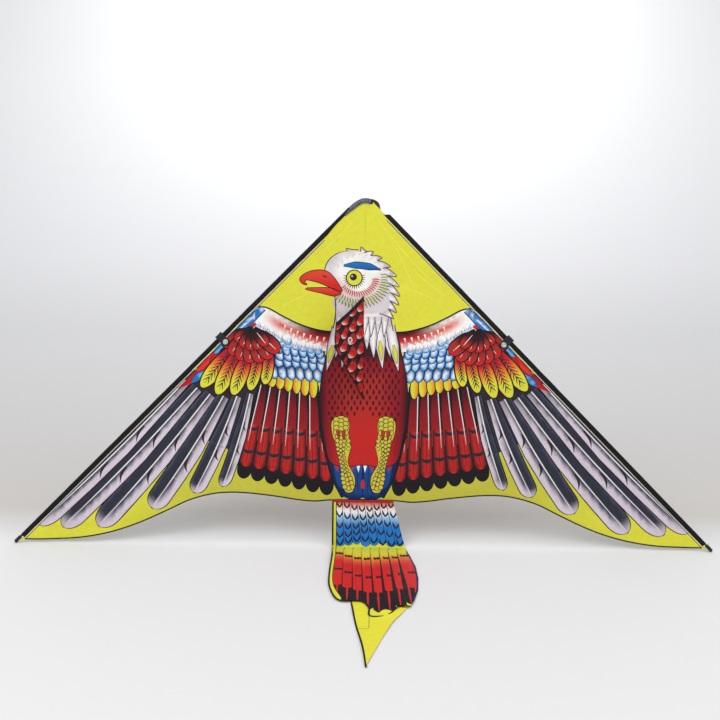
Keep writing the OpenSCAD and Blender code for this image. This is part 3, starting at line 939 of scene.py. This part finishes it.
def folded_tape(name, path, width, half_thick, place, material):
    """Tape folded over an edge: the path is the edge, and the tape reaches width to its left."""
    section = [(0.25, -0.7), (-0.15, 0), (0.25, 0.7), (width * 0.5, 1), (width - 0.3, 0.9), (width, 0.5),
               (width, -0.5), (width - 0.3, -0.9), (width * 0.5, -1)]
    rings = []
    for i, (x, y) in enumerate(path):
        _, normal = way_along(path, i)
        rings.append([place(x + normal[0] * w, y + normal[1] * w, h * half_thick) for w, h in section])
    return sweep(name, rings, material)


def stitches(name, path, place, material, pitch=4.2, length=2.7, width=0.55, height=0.35):
    """A row of thread stitches along a 2-D path, which stand up the way that place turns height."""
    verts, faces = [], []
    left = pitch
    for a, b in zip(path, path[1:]):
        size = math.hypot(b[0] - a[0], b[1] - a[1])
        way = ((b[0] - a[0]) / size, (b[1] - a[1]) / size)
        while left < size:
            base = len(verts)
            for reach, half, lift in ((-0.5, 0.25, 0), (-0.3, 0.5, 1), (0.3, 0.5, 1), (0.5, 0.25, 0)):
                for sign in (-1, 1):
                    x = a[0] + way[0] * (left + reach * length) - way[1] * sign * half * width
                    y = a[1] + way[1] * (left + reach * length) + way[0] * sign * half * width
                    verts.append(place(x, y, lift * height))
            for k in (0, 2, 4):
                faces.append((base + k, base + k + 1, base + k + 3, base + k + 2))
            faces.append((base, base + 2, base + 4, base + 6))
            faces.append((base + 1, base + 7, base + 5, base + 3))
            left += pitch
        left -= size
    mesh = bpy.data.meshes.new(name)
    mesh.from_pydata(verts, [], faces)
    return new_object(name, mesh, material, False)


# ---------------------------------------------------------------- Materials

class Look:
    """A new material, with short ways to add nodes. Its place is the cloth's UV map, or else object space."""

    def __init__(self, name, on_cloth=False):
        self.material = bpy.data.materials.new(name)
        self.material.use_nodes = True
        self.nodes = self.material.node_tree.nodes
        self.shader = next(node for node in self.nodes if node.type == "BSDF_PRINCIPLED")
        if on_cloth:
            uv = self.nodes.new("ShaderNodeUVMap")
            uv.uv_map = "cloth"
            self.place = uv.outputs["UV"]
        else:
            self.place = self.nodes.new("ShaderNodeTexCoord").outputs["Object"]

    def link(self, output, socket):
        self.material.node_tree.links.new(output, socket)

    def from_nodes(self, **outputs):
        """Link outputs to the shader's sockets, such as Base_Color."""
        for name, output in outputs.items():
            self.link(output, self.shader.inputs[name.replace("_", " ")])

    def plainly(self, **values):
        """Set values that are the same all over, such as Sheen_Weight."""
        for name, value in values.items():
            self.shader.inputs[name.replace("_", " ")].default_value = value

    def noise(self, scale, detail=3.0, stretch=None):
        texture = self.nodes.new("ShaderNodeTexNoise")
        texture.inputs["Scale"].default_value = scale
        texture.inputs["Detail"].default_value = detail
        place = self.place
        if stretch:
            mapping = self.nodes.new("ShaderNodeMapping")
            mapping.inputs["Scale"].default_value = stretch
            self.link(place, mapping.inputs["Vector"])
            place = mapping.outputs["Vector"]
        self.link(place, texture.inputs["Vector"])
        return texture.outputs["Fac"]

    def map_range(self, value, to_low, to_high, low=0.3, high=0.7):
        """A value's range from low to high, most of a noise texture's by default, moved to another."""
        node = self.nodes.new("ShaderNodeMapRange")
        for socket, number in zip(("From Min", "From Max", "To Min", "To Max"), (low, high, to_low, to_high)):
            node.inputs[socket].default_value = number
        self.link(value, node.inputs["Value"])
        return node.outputs["Result"]

    def maths(self, operation, a, b):
        node = self.nodes.new("ShaderNodeMath")
        node.operation = operation
        self.link(a, node.inputs[0])
        if isinstance(b, (int, float)):
            node.inputs[1].default_value = b
        else:
            self.link(b, node.inputs[1])
        return node.outputs[0]

    def weave(self, threads):
        """The height of a plain weave with so many threads in one unit of the place."""
        heights = []
        for direction in ("X", "Y"):
            wave = self.nodes.new("ShaderNodeTexWave")
            wave.bands_direction = direction
            wave.inputs["Scale"].default_value = threads / 20 * math.pi
            wave.inputs["Distortion"].default_value = 0.4
            wave.inputs["Detail"].default_value = 1
            self.link(self.place, wave.inputs["Vector"])
            heights.append(wave.outputs["Fac"])
        return self.maths("MULTIPLY", *heights)

    def bump(self, height, strength, distance):
        bump = self.nodes.new("ShaderNodeBump")
        bump.inputs["Strength"].default_value = strength
        bump.inputs["Distance"].default_value = distance
        self.link(height, bump.inputs["Height"])
        self.from_nodes(Normal=bump.outputs["Normal"])

    def tinted(self, colour_socket, factor):
        """A colour made lighter and darker by a factor round 1."""
        scale = self.nodes.new("ShaderNodeVectorMath")
        scale.operation = "SCALE"
        self.link(colour_socket, scale.inputs[0])
        self.link(factor, scale.inputs["Scale"])
        return scale.outputs["Vector"]

    def colour_ramp(self, value, stops):
        """The colour at value along (place, linear colour) stops."""
        node = self.nodes.new("ShaderNodeValToRGB")
        elements = node.color_ramp.elements
        last = len(stops) - 1
        for k, (place, tint) in enumerate(stops):
            stop = elements[-1 if k else 0] if k in (0, last) else elements.new(place)
            stop.position = place
            stop.color = (*tint, 1)
        self.link(value, node.inputs["Fac"])
        return node.outputs["Color"]


def printed_cloth(name, unevenness=0.06, roughness=0.6):
    """Thin woven polyester with ink in it: the print's colour, a little uneven, on a fine creased weave."""
    look = Look(name, on_cloth=True)
    ink = look.nodes.new("ShaderNodeAttribute")
    ink.attribute_name = "ink"
    patches, grain = look.noise(0.16, 4), look.noise(9, 3)
    uneven = look.map_range(patches, 1 - unevenness, 1 + unevenness)
    grainy = look.map_range(grain, 0.965, 1.03)
    look.from_nodes(
        Base_Color=look.tinted(ink.outputs["Color"], look.maths("MULTIPLY", uneven, grainy)),
        Roughness=look.map_range(patches, roughness - 0.07, roughness + 0.07),
    )
    folds, creases = look.noise(0.2, 7, (1.0, 0.6, 1.0)), look.noise(0.09, 2)
    sharp = look.maths("POWER", look.maths("PINGPONG", creases, 0.1), 0.6)
    fine = look.maths("MULTIPLY", look.weave(12), 0.012)
    height = look.maths("ADD", look.maths("ADD", folds, fine), look.maths("MULTIPLY", sharp, 0.5))
    look.bump(height, 0.9, 0.011)
    look.plainly(Specular_IOR_Level=0.14, Sheen_Weight=0.03, Sheen_Roughness=0.4)
    return look.material


def tape_cloth(name, dark, light, threads, roughness, rib=0.5, strength=0.5):
    """Dyed woven tape or sleeve cloth with a weave, faded in patches."""
    look = Look(name, on_cloth=True)
    patches, height = look.noise(1.1, 5), look.weave(threads)
    blend = look.maths("ADD", look.maths("MULTIPLY", height, rib), patches)
    stops = [(0.3, colour(dark)), (0.75, colour(light))]
    look.from_nodes(
        Base_Color=look.colour_ramp(look.maths("MULTIPLY", blend, 0.8), stops),
        Roughness=look.map_range(patches, roughness - 0.08, roughness + 0.08),
    )
    look.bump(height, strength, 0.0003)
    look.plainly(Specular_IOR_Level=0.22, Sheen_Weight=0.05)
    return look.material


def moulded(name, dark, light, roughness, scale=160, strength=0.25):
    """Moulded rubber or plastic with a fine grain and lighter scuffs."""
    look = Look(name)
    scuffs, grain = look.noise(scale * 0.4, 6), look.noise(scale * 12, 2)
    look.from_nodes(
        Base_Color=look.colour_ramp(scuffs, [(0.42, colour(dark)), (0.72, colour(light))]),
        Roughness=look.map_range(scuffs, roughness - 0.1, roughness + 0.1),
    )
    look.bump(grain, strength, 0.0002)
    return look.material


def fibreglass(name):
    """Black pultruded rod: fine fibres along it under a smooth skin."""
    look = Look(name)
    fibres = look.noise(900, 3)
    look.from_nodes(
        Base_Color=look.colour_ramp(fibres, [(0, colour("141416")), (1, colour("2b2c30"))]),
        Roughness=look.map_range(fibres, 0.28, 0.42),
    )
    look.plainly(Coat_Weight=0.3)
    return look.material


def bright_metal(name, tint):
    """Plated steel with fine scratches."""
    look = Look(name)
    scratches = look.noise(1500, 5)
    dull = tuple(c * 0.75 for c in colour(tint))
    look.from_nodes(
        Base_Color=look.colour_ramp(scratches, [(0, dull), (1, colour(tint))]),
        Roughness=look.map_range(scratches, 0.2, 0.36),
    )
    look.plainly(Metallic=1.0)
    return look.material


SAIL_CLOTH = printed_cloth("printed_sail_cloth")
KEEL_CLOTH = printed_cloth("printed_keel_cloth", 0.14)
TAIL_CLOTH = printed_cloth("printed_tail_cloth", 0.12, 0.55)
SLEEVE_CLOTH = tape_cloth("black_sleeve_cloth", "040405", "0e0e11", 14, 0.6, 0.3)
BINDING = tape_cloth("black_binding_tape", "080709", "161418", 10, 0.7)
WEBBING = tape_cloth("grey_nose_webbing", "2e2f35", "70717c", 4, 0.6, 0.9, 1.0)
TAB_WEBBING = tape_cloth("black_tab_webbing", "121214", "303036", 5, 0.6, 0.8, 0.9)
THREAD = tape_cloth("black_thread", "202024", "3c3c42", 6, 0.6)
RUBBER = moulded("black_cap_rubber", "0f0f11", "242427", 0.6)
PLASTIC = moulded("black_clip_plastic", "17181b", "34363b", 0.45)
ROD = fibreglass("black_fibreglass")
STEEL = bright_metal("bright_rivet_steel", "d4d4d2")
EYELET_METAL = bright_metal("bright_eyelet_metal", "f4f2ee")
SEAM_CLOTH = tape_cloth("red_seam_cloth", "8c1a1a", "b02420", 10, 0.7)


# ---------------------------------------------------------------- Hiding the CAD nodes that pieces replace, and hanging pieces on their bodies

def settle(piece, slot, body, *nodes):
    if nodes:
        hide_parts(*nodes)
    if body:
        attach(piece, body)


def sew(name, path, place, slot, body, *sizes):
    settle(stitches(name, path, place, THREAD, *sizes), slot, body)


# ---------------------------------------------------------------- The sail

def sail_depth(u, v):
    """How far the cloth stands back from the kite plane: a soft billow, with creases to the edges."""
    x, inset = abs(u), max(0, edge_inset(u, v) - SAIL_INSET)
    held = smooth(6, 90, x) * smooth(0, 90, inset)
    rivet = smooth(16, 60, math.hypot(x - RIVET_U, v - RIVET_V))
    rod = 1 - 0.62 * math.exp(-((v - RIVET_V) / 60) ** 2) * smooth(340, 300, x)
    billow = 8.5 * held * rod * (0.6 + 0.4 * math.sin(v / 140 + x / 170 + (0.6 if u > 0 else 0)))
    way = math.atan2(v - 20, 800 - x)
    rays = math.sin(26 * way + 1.3 * noise.noise((u * 0.006, v * 0.006, 1.0)) + (0.9 if u > 0 else 0))
    ripples = noise.noise((u * 0.011, v * 0.017, 4.0)) * 2.2 + 0.9 * rays
    nose = noise.noise(((u + v) * 0.03, (u - v) * 0.008, 7.0)) * 1.6 * smooth(560, 700, v) * smooth(4, 30, x)
    fade = smooth(4, 70, x) * smooth(0, 40, inset) * rod * rivet
    return billow * rivet + ripples * fade + nose * smooth(0, 20, inset)


def trailing_edge(side, height=0.0):
    """The sail's lower edge from the spine to the wing tip."""
    return [(side * u, v + height) for u, v in curve(TE_KNOTS, 6)]


def sail_cut(side):
    """The outline of half the sail."""
    tip = edge_point(1134, SAIL_INSET)
    lower = [p for p in trailing_edge(1, 1.5) if p[0] < tip[0] - 14]
    tuck = 1.8 if side < 0 else 0
    edge = [edge_point(s, SAIL_INSET - 2.6 - tuck * smooth(170, 100, s)) for s in range(22, 1134, 37)]
    ring = [(0, NOSE_TOP), *edge, tip, *lower[::-1]]
    return [(side * u, v) for u, v in ring]


def sail_ground_and_painted_shade(p):
    """The plain yellow round the bird, with painted shade that darkens it towards the lower middle of the sail.
    """
    return mix(INK["ground"], INK["shade_and_seam_yellow"], smooth(420, 100, p[1]) * smooth(620, 300, abs(p[0])))


def make_sails():
    art = sail_art()
    for side, name in ((-1, "left"), (1, "right")):
        sail = printed_sheet(
            f"printed_sail_{name}", sail_cut(side), art, sail_ground_and_painted_shade,
            lambda u, v: at(u, v, sail_depth(u, v)), 9, SAIL_CLOTH,
        )
        settle(sail, "sail_cloth", None, f"sail_{name}", *(["centre_seam"] if side > 0 else []))
        turn_with_wing(sail, side)
        make_binding(side, name)


def turn_with_wing(piece, side):
    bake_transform(piece)


def make_binding(side, name):
    path = trailing_edge(side)
    tape = folded_tape(
        f"trailing_tape_{name}", path if side > 0 else path[::-1], 2.8, 0.8,
        lambda u, v, y: at(u, v, sail_depth(u, v) + y), BINDING,
    )
    settle(tape, "binding_tape", None, f"trailing_binding_{name}")
    turn_with_wing(tape, side)


# ---------------------------------------------------------------- Leading edges

SLEEVE_START, SLEEVE_END = 80, 1122
LEFT_SLEEVE_START, LEFT_STITCHES_START = 58, 176
STITCH_INSET = 10.2   # just inside the sleeve's lip
SPAR_INSET, SLEEVE_R = 3.4, 3.3


def sleeve_section(swell=0.0, lip=0.0, narrow=0.0):
    """(inset, y) round the sleeve: a teardrop over the spar, closed on the sail in a flat lip."""
    flat = (SLEEVE_W - SPAR_INSET - SLEEVE_R) * (1 - 0.8 * narrow)
    inner = SPAR_INSET + SLEEVE_R
    round_part = [
        (SPAR_INSET + (SLEEVE_R + swell) * math.cos(a), (SLEEVE_R + swell) * math.sin(a))
        for a in (math.radians(62 + 236 * k / 12) for k in range(13))
    ]
    end = inner + flat + lip
    front = [(inner + 0.3 * flat, -1.6), (inner + 0.7 * flat, -1.0), (end, -0.95)]
    return round_part + front + [(end + 0.2, 0)] + [(inset, -y) for inset, y in front[::-1]]


def make_sleeve(side, name):
    rings = []
    steps = 130
    start = SLEEVE_START if side > 0 else LEFT_SLEEVE_START
    for i in range(steps + 1):
        s = start + (SLEEVE_END - start) * i / steps
        narrow = max(0.5, smooth(170, 100, s) if side < 0 else 0)
        swell = 0.35 * noise.noise((s * 0.03, side * 5.0, 0))
        lip = 0.6 * noise.noise((s * 0.05, side * 9.0, 2.0))
        ring = []
        slant = 0.85 * smooth(60, 0, s - start) if side > 0 else 0
        for inset, y in sleeve_section(swell, lip, narrow):
            u, v = edge_point(s - slant * inset, inset)
            dent = 0.25 * noise.noise((s * 0.09, inset * 0.3, y * 0.4 + side))
            ring.append(at(side * u, v, y + dent))
        rings.append(ring if side > 0 else ring[::-1])
    sleeve = sweep(f"leading_sleeve_{name}", rings, SLEEVE_CLOTH)
    settle(sleeve, "sleeve_cloth", f"{name}_wing", f"leading_edge_sleeve_{name}")
    start = SLEEVE_START + 4 if side > 0 else LEFT_STITCHES_START
    path = [edge_point(s, STITCH_INSET) for s in range(start, SLEEVE_END, 20)]
    for face, sign in (("front", -1), ("back", 1)):
        sew(
            f"sleeve_stitching_{face}_{name}", [(side * u, v) for u, v in path],
            lambda u, v, h, sign=sign: at(u, v, sign * (1.0 + h)), "sleeve_cloth", f"{name}_wing",
        )


def make_tab(side, name):
    """Webbing looped round the sleeved spar and riveted through the sail."""
    tab_half, lump_r, lump_w, tab_end, face = 9, 5.4, 0.6, 27.5, 2.0
    middle = (RIVET_U + RIVET_INSET * EDGE_SIN) / EDGE_COS
    section = [
        (lump_w + lump_r * math.cos(a), lump_r * math.sin(a))
        for a in (math.radians(66 + 228 * k / 12) for k in range(13))
    ]
    section += [(8, -3.4), (SLEEVE_W, -face), (tab_end - 0.6, -face), (tab_end, -face + 0.7),
                 (tab_end, face - 0.7), (tab_end - 0.6, face), (SLEEVE_W, face), (8, 3.4)]
    rings = []
    for offset, shrink in ((-tab_half, 0.86), (-tab_half + 0.5, 1), (-4, 1.0), (0, 1.02), (4, 1.0),
                           (tab_half - 0.5, 1), (tab_half, 0.86)):
        ring = []
        for inset, y in section:
            u, v = edge_point(middle + offset, inset)
            ring.append(at(side * u, v, y * shrink))
        rings.append(ring if side > 0 else ring[::-1])
    tab = sweep(f"spreader_webbing_{name}", rings, TAB_WEBBING)
    settle(tab, "tab_webbing", f"{name}_wing", f"spreader_tab_{name}")
    for offset in (-6.5, 6.5):
        path = [edge_point(middle + offset, inset) for inset in (15, 18, 21, 24, 26.5)]
        sew(
            f"tab_stitching_{name}_{'in' if offset < 0 else 'out'}", [(side * u, v) for u, v in path],
            lambda u, v, h: at(u, v, -face - 0.05 - h), "tab_webbing", f"{name}_wing", 2.6, 1.8, 0.5, 0.3,
        )


# ---------------------------------------------------------------- Spine and nose

def make_spine_sleeve():
    """The cloth channel behind the centre seam that holds the spine rod."""
    low, high, middle_y, radius = 128, 758, 4.0, 3.3
    rings = []
    steps = 70
    for i in range(steps + 1):
        v = low + (high - low) * i / steps
        swell = 0.25 * noise.noise((v * 0.04, 2.0, 0))
        ring = []
        for k in range(13):
            a = math.radians(-28 + 236 * k / 12)
            r = radius + swell
            ring.append(at(-r * math.cos(a), v, middle_y + r * math.sin(a)))
        ring += [at(4.6, v, 1.2), at(6.4, v, 0.95), at(6.5, v, 0.45), at(-6.5, v, 0.45), at(-6.4, v, 0.95),
                 at(-4.6, v, 1.2)]
        rings.append(ring)
    sleeve = sweep("spine_channel", rings, SLEEVE_CLOTH)
    settle(sleeve, "sleeve_cloth", "spine", "spine_sleeve")
    for side, name in ((-1, "left"), (1, "right")):
        sew(
            f"spine_stitching_{name}", [(side * 5.5, v) for v in range(low + 4, high, 20)],
            lambda u, v, h: at(u, v, 1.05 + h), "sleeve_cloth", "spine",
        )


def make_nose_strap():
    """Ribbed webbing over the nose: along the left edge, over the top, then down behind the right side."""
    path = curve([(-49, 759), (-36, 771), (-20, 784), (-8, 790), (3, 791), (11, 788)], 5)
    tail = curve([(10, 790), (18, 788), (25, 783), (28, 771)], 4)
    section = [(-5.8, -2.2), (-5, -2.9), (0, -2.6), (5, -2.9), (5.8, -2.2), (5.8, 2.8), (5, 3.4), (0, 3.2),
               (-5, 3.4), (-5.8, 2.8)]
    rings = []
    for i, (u, v) in enumerate(path):
        _, normal = way_along(path, i)
        narrow = 0.72 + 0.28 * smooth(0, 8, i)
        ring = [at(u + normal[0] * w * narrow, v + normal[1] * w * narrow, h + 0.25 * math.sin(1.4 * i))
                for w, h in section]
        rings.append(ring[::-1])
    strap = sweep("nose_webbing", rings, WEBBING)
    settle(strap, "strap_webbing", "spine", "nose_strap")
    rings = []
    for i, (u, v) in enumerate(tail):
        _, normal = way_along(tail, i)
        depth = 2.2 * smooth(0, 6, i)
        rings.append([at(u + normal[0] * w, v + normal[1] * w, h * 0.5 + depth) for w, h in section][::-1])
    settle(sweep("nose_webbing_end", rings, TAB_WEBBING), "strap_webbing", "spine")


# ---------------------------------------------------------------- Keel

def in_keel(rho, v, h=0.0):
    """A point of the keel: rho out from the spine, v up it, h off its plane."""
    u = rho * math.cos(KEEL_ANGLE) - h * math.sin(KEEL_ANGLE)
    y = rho * math.sin(KEEL_ANGLE) + h * math.cos(KEEL_ANGLE)
    return at(u, v, y)


def keel_bend(rho, v):
    """The keel's soft curve off its own plane."""
    flat = smooth(6, 22, math.hypot(rho - 43, v - 469))
    bow = 3.0 * math.sin(math.pi * rho / 88) + 2.0 * noise.noise((rho * 0.03, v * 0.02, 5.0))
    return bow * flat * smooth(2, 20, rho)


def make_keel():
    keel = printed_sheet(
        "printed_keel", KEEL_CUT, keel_art(), plain("maroon"),
        lambda rho, v: in_keel(rho, v, keel_bend(rho, v)), 5, KEEL_CLOTH,
    )
    settle(keel, "keel_cloth", "keel", "keel_panel")
    foot, heel, corner, top = KEEL_CUT

    def place(rho, v, h):
        return in_keel(rho, v, keel_bend(rho, v) + h)

    band = folded_tape(
        "keel_tape", [lerp(corner, top, k / 12 * 0.9) for k in range(13)], 8, 0.9, place, BINDING)
    settle(band, "binding_tape", "keel", "keel_binding")
    lower = [lerp(foot, heel, 0.1 + 0.9 * k / 12) for k in range(12)] + [(86.5, 465), (87.6, 470)]
    lower += [lerp((87.6, 470), corner, k / 3) for k in (1, 2, 3)]
    hem = folded_tape("keel_edge_tape", lower, 3, 0.8, place, BINDING)
    settle(hem, "binding_tape", "keel", "keel_hem")


# ---------------------------------------------------------------- Tail

FAN_OUTLINE = [(-69, -3), (98, -3), (105, -40), (118, -110), (121, -170), (118, -230), (108, -280),
               (98, -312), (78, -310), (55, -345), (18, -352), (15, -315), (0, -288), (-45, -285),
               (-66, -225), (-70, -160), (-68, -60)]
FLAP_LEFT = [(-22, -270), (-10, -380), (4, -470), (11, -545)]
FLAP_RIGHT = [(41, -440), (62, -375), (98, -300), (100, -270)]
BEND_RADIUS = 6


def tail_place(u, t, h=0.0):
    """A point of the tail cloth: down the kite plane, round a soft bend, then along the floor."""
    turn = math.pi / 2 + LEAN
    reach = BEND_RADIUS * math.tan(turn / 2) * 0.5
    y = t - BEND_V
    if y > reach:
        return at(u, t, h + tail_wave(u, t))
    if y < -reach:
        return on_floor(u, y, 1.6 + fan_lift(u, y) + h)
    share = (reach - y) / (2 * reach)
    top = at(u, BEND_V + reach, h + tail_wave(u, BEND_V + reach))
    low = on_floor(u, -reach, 1.6 + fan_lift(u, -reach) + h)
    knee = on_floor(u, 0, 1.6 + h)
    return top * (1 - share) ** 2 + knee * 2 * share * (1 - share) + low * share ** 2


def tail_wave(u, t):
    """The hanging part's soft folds, none at its seam and little at its bend."""
    free = smooth(100, 60, t)
    return 2.2 * free * math.sin(u * 0.055 + 0.6) + 1.2 * free * noise.noise((u * 0.02, t * 0.02, 8.0))


def fan_lift(u, y):
    """Low ripples where the cloth lies on the floor."""
    lift = 1.6 + 1.6 * math.sin(u * 0.06 + y * 0.012) + 1.2 * noise.noise((u * 0.02, y * 0.02, 11.0))
    return max(0, lift) * smooth(0, -40, y)


def tail_cut():
    upper = [(-TAIL_HALF, TAIL_TOP - 2), (TAIL_HALF, TAIL_TOP - 2), (TAIL_RIGHT_BEND, BEND_V)]
    fan = [(x, BEND_V + y) for x, y in FAN_OUTLINE]
    return [upper[0], *reversed(curve(fan[11:], 3)), *reversed(fan[1:11]), upper[2], upper[1]][::-1]


def turn_at_bend(piece):
    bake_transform(piece)


def make_tail():
    tail = printed_sheet("printed_tail", tail_cut(), tail_art(), plain("ground"), tail_place, 6, TAIL_CLOTH)
    settle(tail, "tail_cloth", None, "tail_upper_panel", "tail_fan")
    turn_at_bend(tail)


def make_tail_tapes():
    left = [(-TAIL_HALF + 0.4, t) for t in (98, 80, 60, 40, 20, 8, 2, -3, -8, -14)]
    path = left + [(x, BEND_V + y) for x, y in curve(FAN_OUTLINE[:6:-1], 5)]
    tape = folded_tape("tail_edge_tape", path, 3.6, 0.8, tail_place, BINDING)
    settle(tape, "binding_tape", None, "tail_upper_binding", "tail_fan_binding")
    turn_at_bend(tape)
    seam = [(70 - 140 * k / 20, TAIL_TOP) for k in range(21)]
    band = folded_tape(
        "tail_seam_band", seam, 5, 0.85, lambda u, v, h: at(u, v, h + tail_wave(u, v)), SEAM_CLOTH)
    settle(band, "binding_tape", "tail_upper", "tail_seam_tape")


def flap_place(x, y, h=0.0):
    ripple = 1.0 + 0.9 * noise.noise((x * 0.025, y * 0.014, 21.0))
    under = smooth(-290, -330, y)
    return on_floor(x, y, 0.45 + max(0, ripple) * under * 1.8 + h)


def make_flap():
    lines = []
    for path in ([(17, -318), (17.5, -360), (17, -400)], [(-5, -400), (6, -401), (17, -400)]):
        lines.append(drawn(path, 1.2, "olive", 1, 1))
    cut = [*FLAP_LEFT, *FLAP_RIGHT]
    flap = printed_sheet("yellow_flap", cut, lines, plain("flap"), flap_place, 8, TAIL_CLOTH)
    settle(flap, "flap_cloth", "tail_lower", "tail_flap")
    tape = folded_tape("flap_edge_tape", curve(FLAP_LEFT, 6), 3.4, 0.45, flap_place, BINDING)
    settle(tape, "binding_tape", "tail_lower", "tail_flap_binding")


# ---------------------------------------------------------------- CAD nodes with better materials

def finish_cad_nodes():
    looks = {
        "spine_spar": ROD, "leading_edge_spar_left": ROD, "leading_edge_spar_right": ROD, "spreader_rod": ROD,
        "spine_foot_cap": RUBBER, "spine_nose_cap": RUBBER, "tip_cap_left": RUBBER, "tip_cap_right": RUBBER,
        "rod_cap_left": RUBBER, "rod_cap_right": RUBBER,
        "spreader_clip_left": PLASTIC, "spreader_clip_right": PLASTIC,
        "spreader_rivet_left": STEEL, "spreader_rivet_right": STEEL, "tow_eyelet": EYELET_METAL,
    }
    for name, material in looks.items():
        node = frame["nodes"][name]
        for slot in node.material_slots:
            slot.material = material


# ---------------------------------------------------------------- Stage, lights and camera

def make_stage():
    """A pale floor that runs back into a curved wall, with painted light: a greyer band behind the kite is
    painted shadow, and the wall is painted lighter further back and higher up.
    """
    look = Look("pale_backdrop")
    split = look.nodes.new("ShaderNodeSeparateXYZ")
    look.link(look.place, split.inputs[0])
    # Tones by distance back plus height: darkest near 0.42 m for the painted shadow behind the kite, then
    # lighter up the wall as painted light.
    stops = [(0.2, "dfdede"), (0.42, "c7c3be"), (0.96, "cecbc9"), (1.6, "d8d6d5"), (2.6, "e6e5e5"),
              (4.6, "f6f5f6"), (7.5, "ffffff")]
    low, high = stops[0][0], stops[-1][0]
    along = look.map_range(look.maths("ADD", split.outputs["Y"], split.outputs["Z"]), 0, 1, low, high)
    painted_light_tones = [((y - low) / (high - low), colour(code)) for y, code in stops]
    look.from_nodes(Base_Color=look.colour_ramp(along, painted_light_tones))
    look.plainly(Roughness=0.9, Specular_IOR_Level=0.1)
    floor_back, radius, height, reach = 3.0, 3.6, 6.5, 7.0
    profile = [(-6.0, 0.0), (-2.0, 0.0), (0.0, 0.0), (2.0, 0.0)]
    profile += [
        (floor_back + radius * math.sin(a), radius - radius * math.cos(a))
        for a in (math.pi / 2 * k / 24 for k in range(25))
    ]
    profile.append((floor_back + radius, height))
    verts, faces = [], []
    for y, z in profile:
        verts += [(-reach, y, z - 0.0003), (reach, y, z - 0.0003)]
    for i in range(len(profile) - 1):
        faces.append((2 * i, 2 * i + 1, 2 * i + 3, 2 * i + 2))
    mesh = bpy.data.meshes.new("backdrop")
    mesh.from_pydata(verts, [], faces)
    new_object("backdrop", mesh, look.material)


def area_light(name, place, target, size, power, spread=180):
    data = bpy.data.lights.new(name, "AREA")
    data.spread = math.radians(spread)
    data.shape = "SQUARE"
    data.size = size
    data.energy = power
    lamp = bpy.data.objects.new(name, data)
    lamp.location = place
    lamp.rotation_euler = (Vector(target) - Vector(place)).to_track_quat("-Z", "Y").to_euler()
    bpy.context.scene.collection.objects.link(lamp)


def make_lights():
    world = bpy.data.worlds.new("studio")
    world.use_nodes = True
    background = world.node_tree.nodes["Background"]
    background.inputs["Color"].default_value = (0.95, 0.97, 1.0, 1)
    background.inputs["Strength"].default_value = 0.62
    bpy.context.scene.world = world
    area_light("key_light", (-1.6, -2.2, 3.0), (0, 0.2, 0.3), 2.2, 62)
    area_light("fill_light", (2.2, -1.6, 2.2), (0, 0.2, 0.3), 2.4, 26)
    area_light("top_light", (0, 0.6, 3.4), (0, 0.3, 0), 2.6, 24)
    area_light("wall_light", (0, 4.6, 5.2), (0, 6.6, 2.6), 2.6, 46, 100)


def make_camera():
    """The photograph's viewpoint: in front of the kite, looking a little down."""
    pitch, yaw, roll = 0.19674, -0.01117, 0.0092
    ahead = Vector((math.sin(yaw) * math.cos(pitch), math.cos(yaw) * math.cos(pitch), -math.sin(pitch)))
    right = Vector((math.cos(yaw), -math.sin(yaw), 0))
    up = right.cross(ahead)
    turned_right = right * math.cos(roll) + up * math.sin(roll)
    turned_up = up * math.cos(roll) - right * math.sin(roll)
    data = bpy.data.cameras.new("camera")
    data.lens = 48
    data.sensor_width = 36
    camera = bpy.data.objects.new("camera", data)
    turn = Matrix((turned_right, turned_up, -ahead)).transposed()
    camera.matrix_world = Matrix.Translation((0.01455, -1.888, 0.851)) @ turn.to_4x4()
    bpy.context.scene.collection.objects.link(camera)
    bpy.context.scene.camera = camera


# ---------------------------------------------------------------- Build

finish_cad_nodes()
for wing_sign, wing_name in ((-1, "left"), (1, "right")):
    make_sleeve(wing_sign, wing_name)
    make_tab(wing_sign, wing_name)
make_sails()
make_spine_sleeve()
make_nose_strap()
make_keel()
make_tail_tapes()
make_tail()
make_flap()
make_stage()
make_lights()
make_camera()
bpy.context.scene.view_settings.view_transform = "Standard"

bpy.context.view_layer.update()
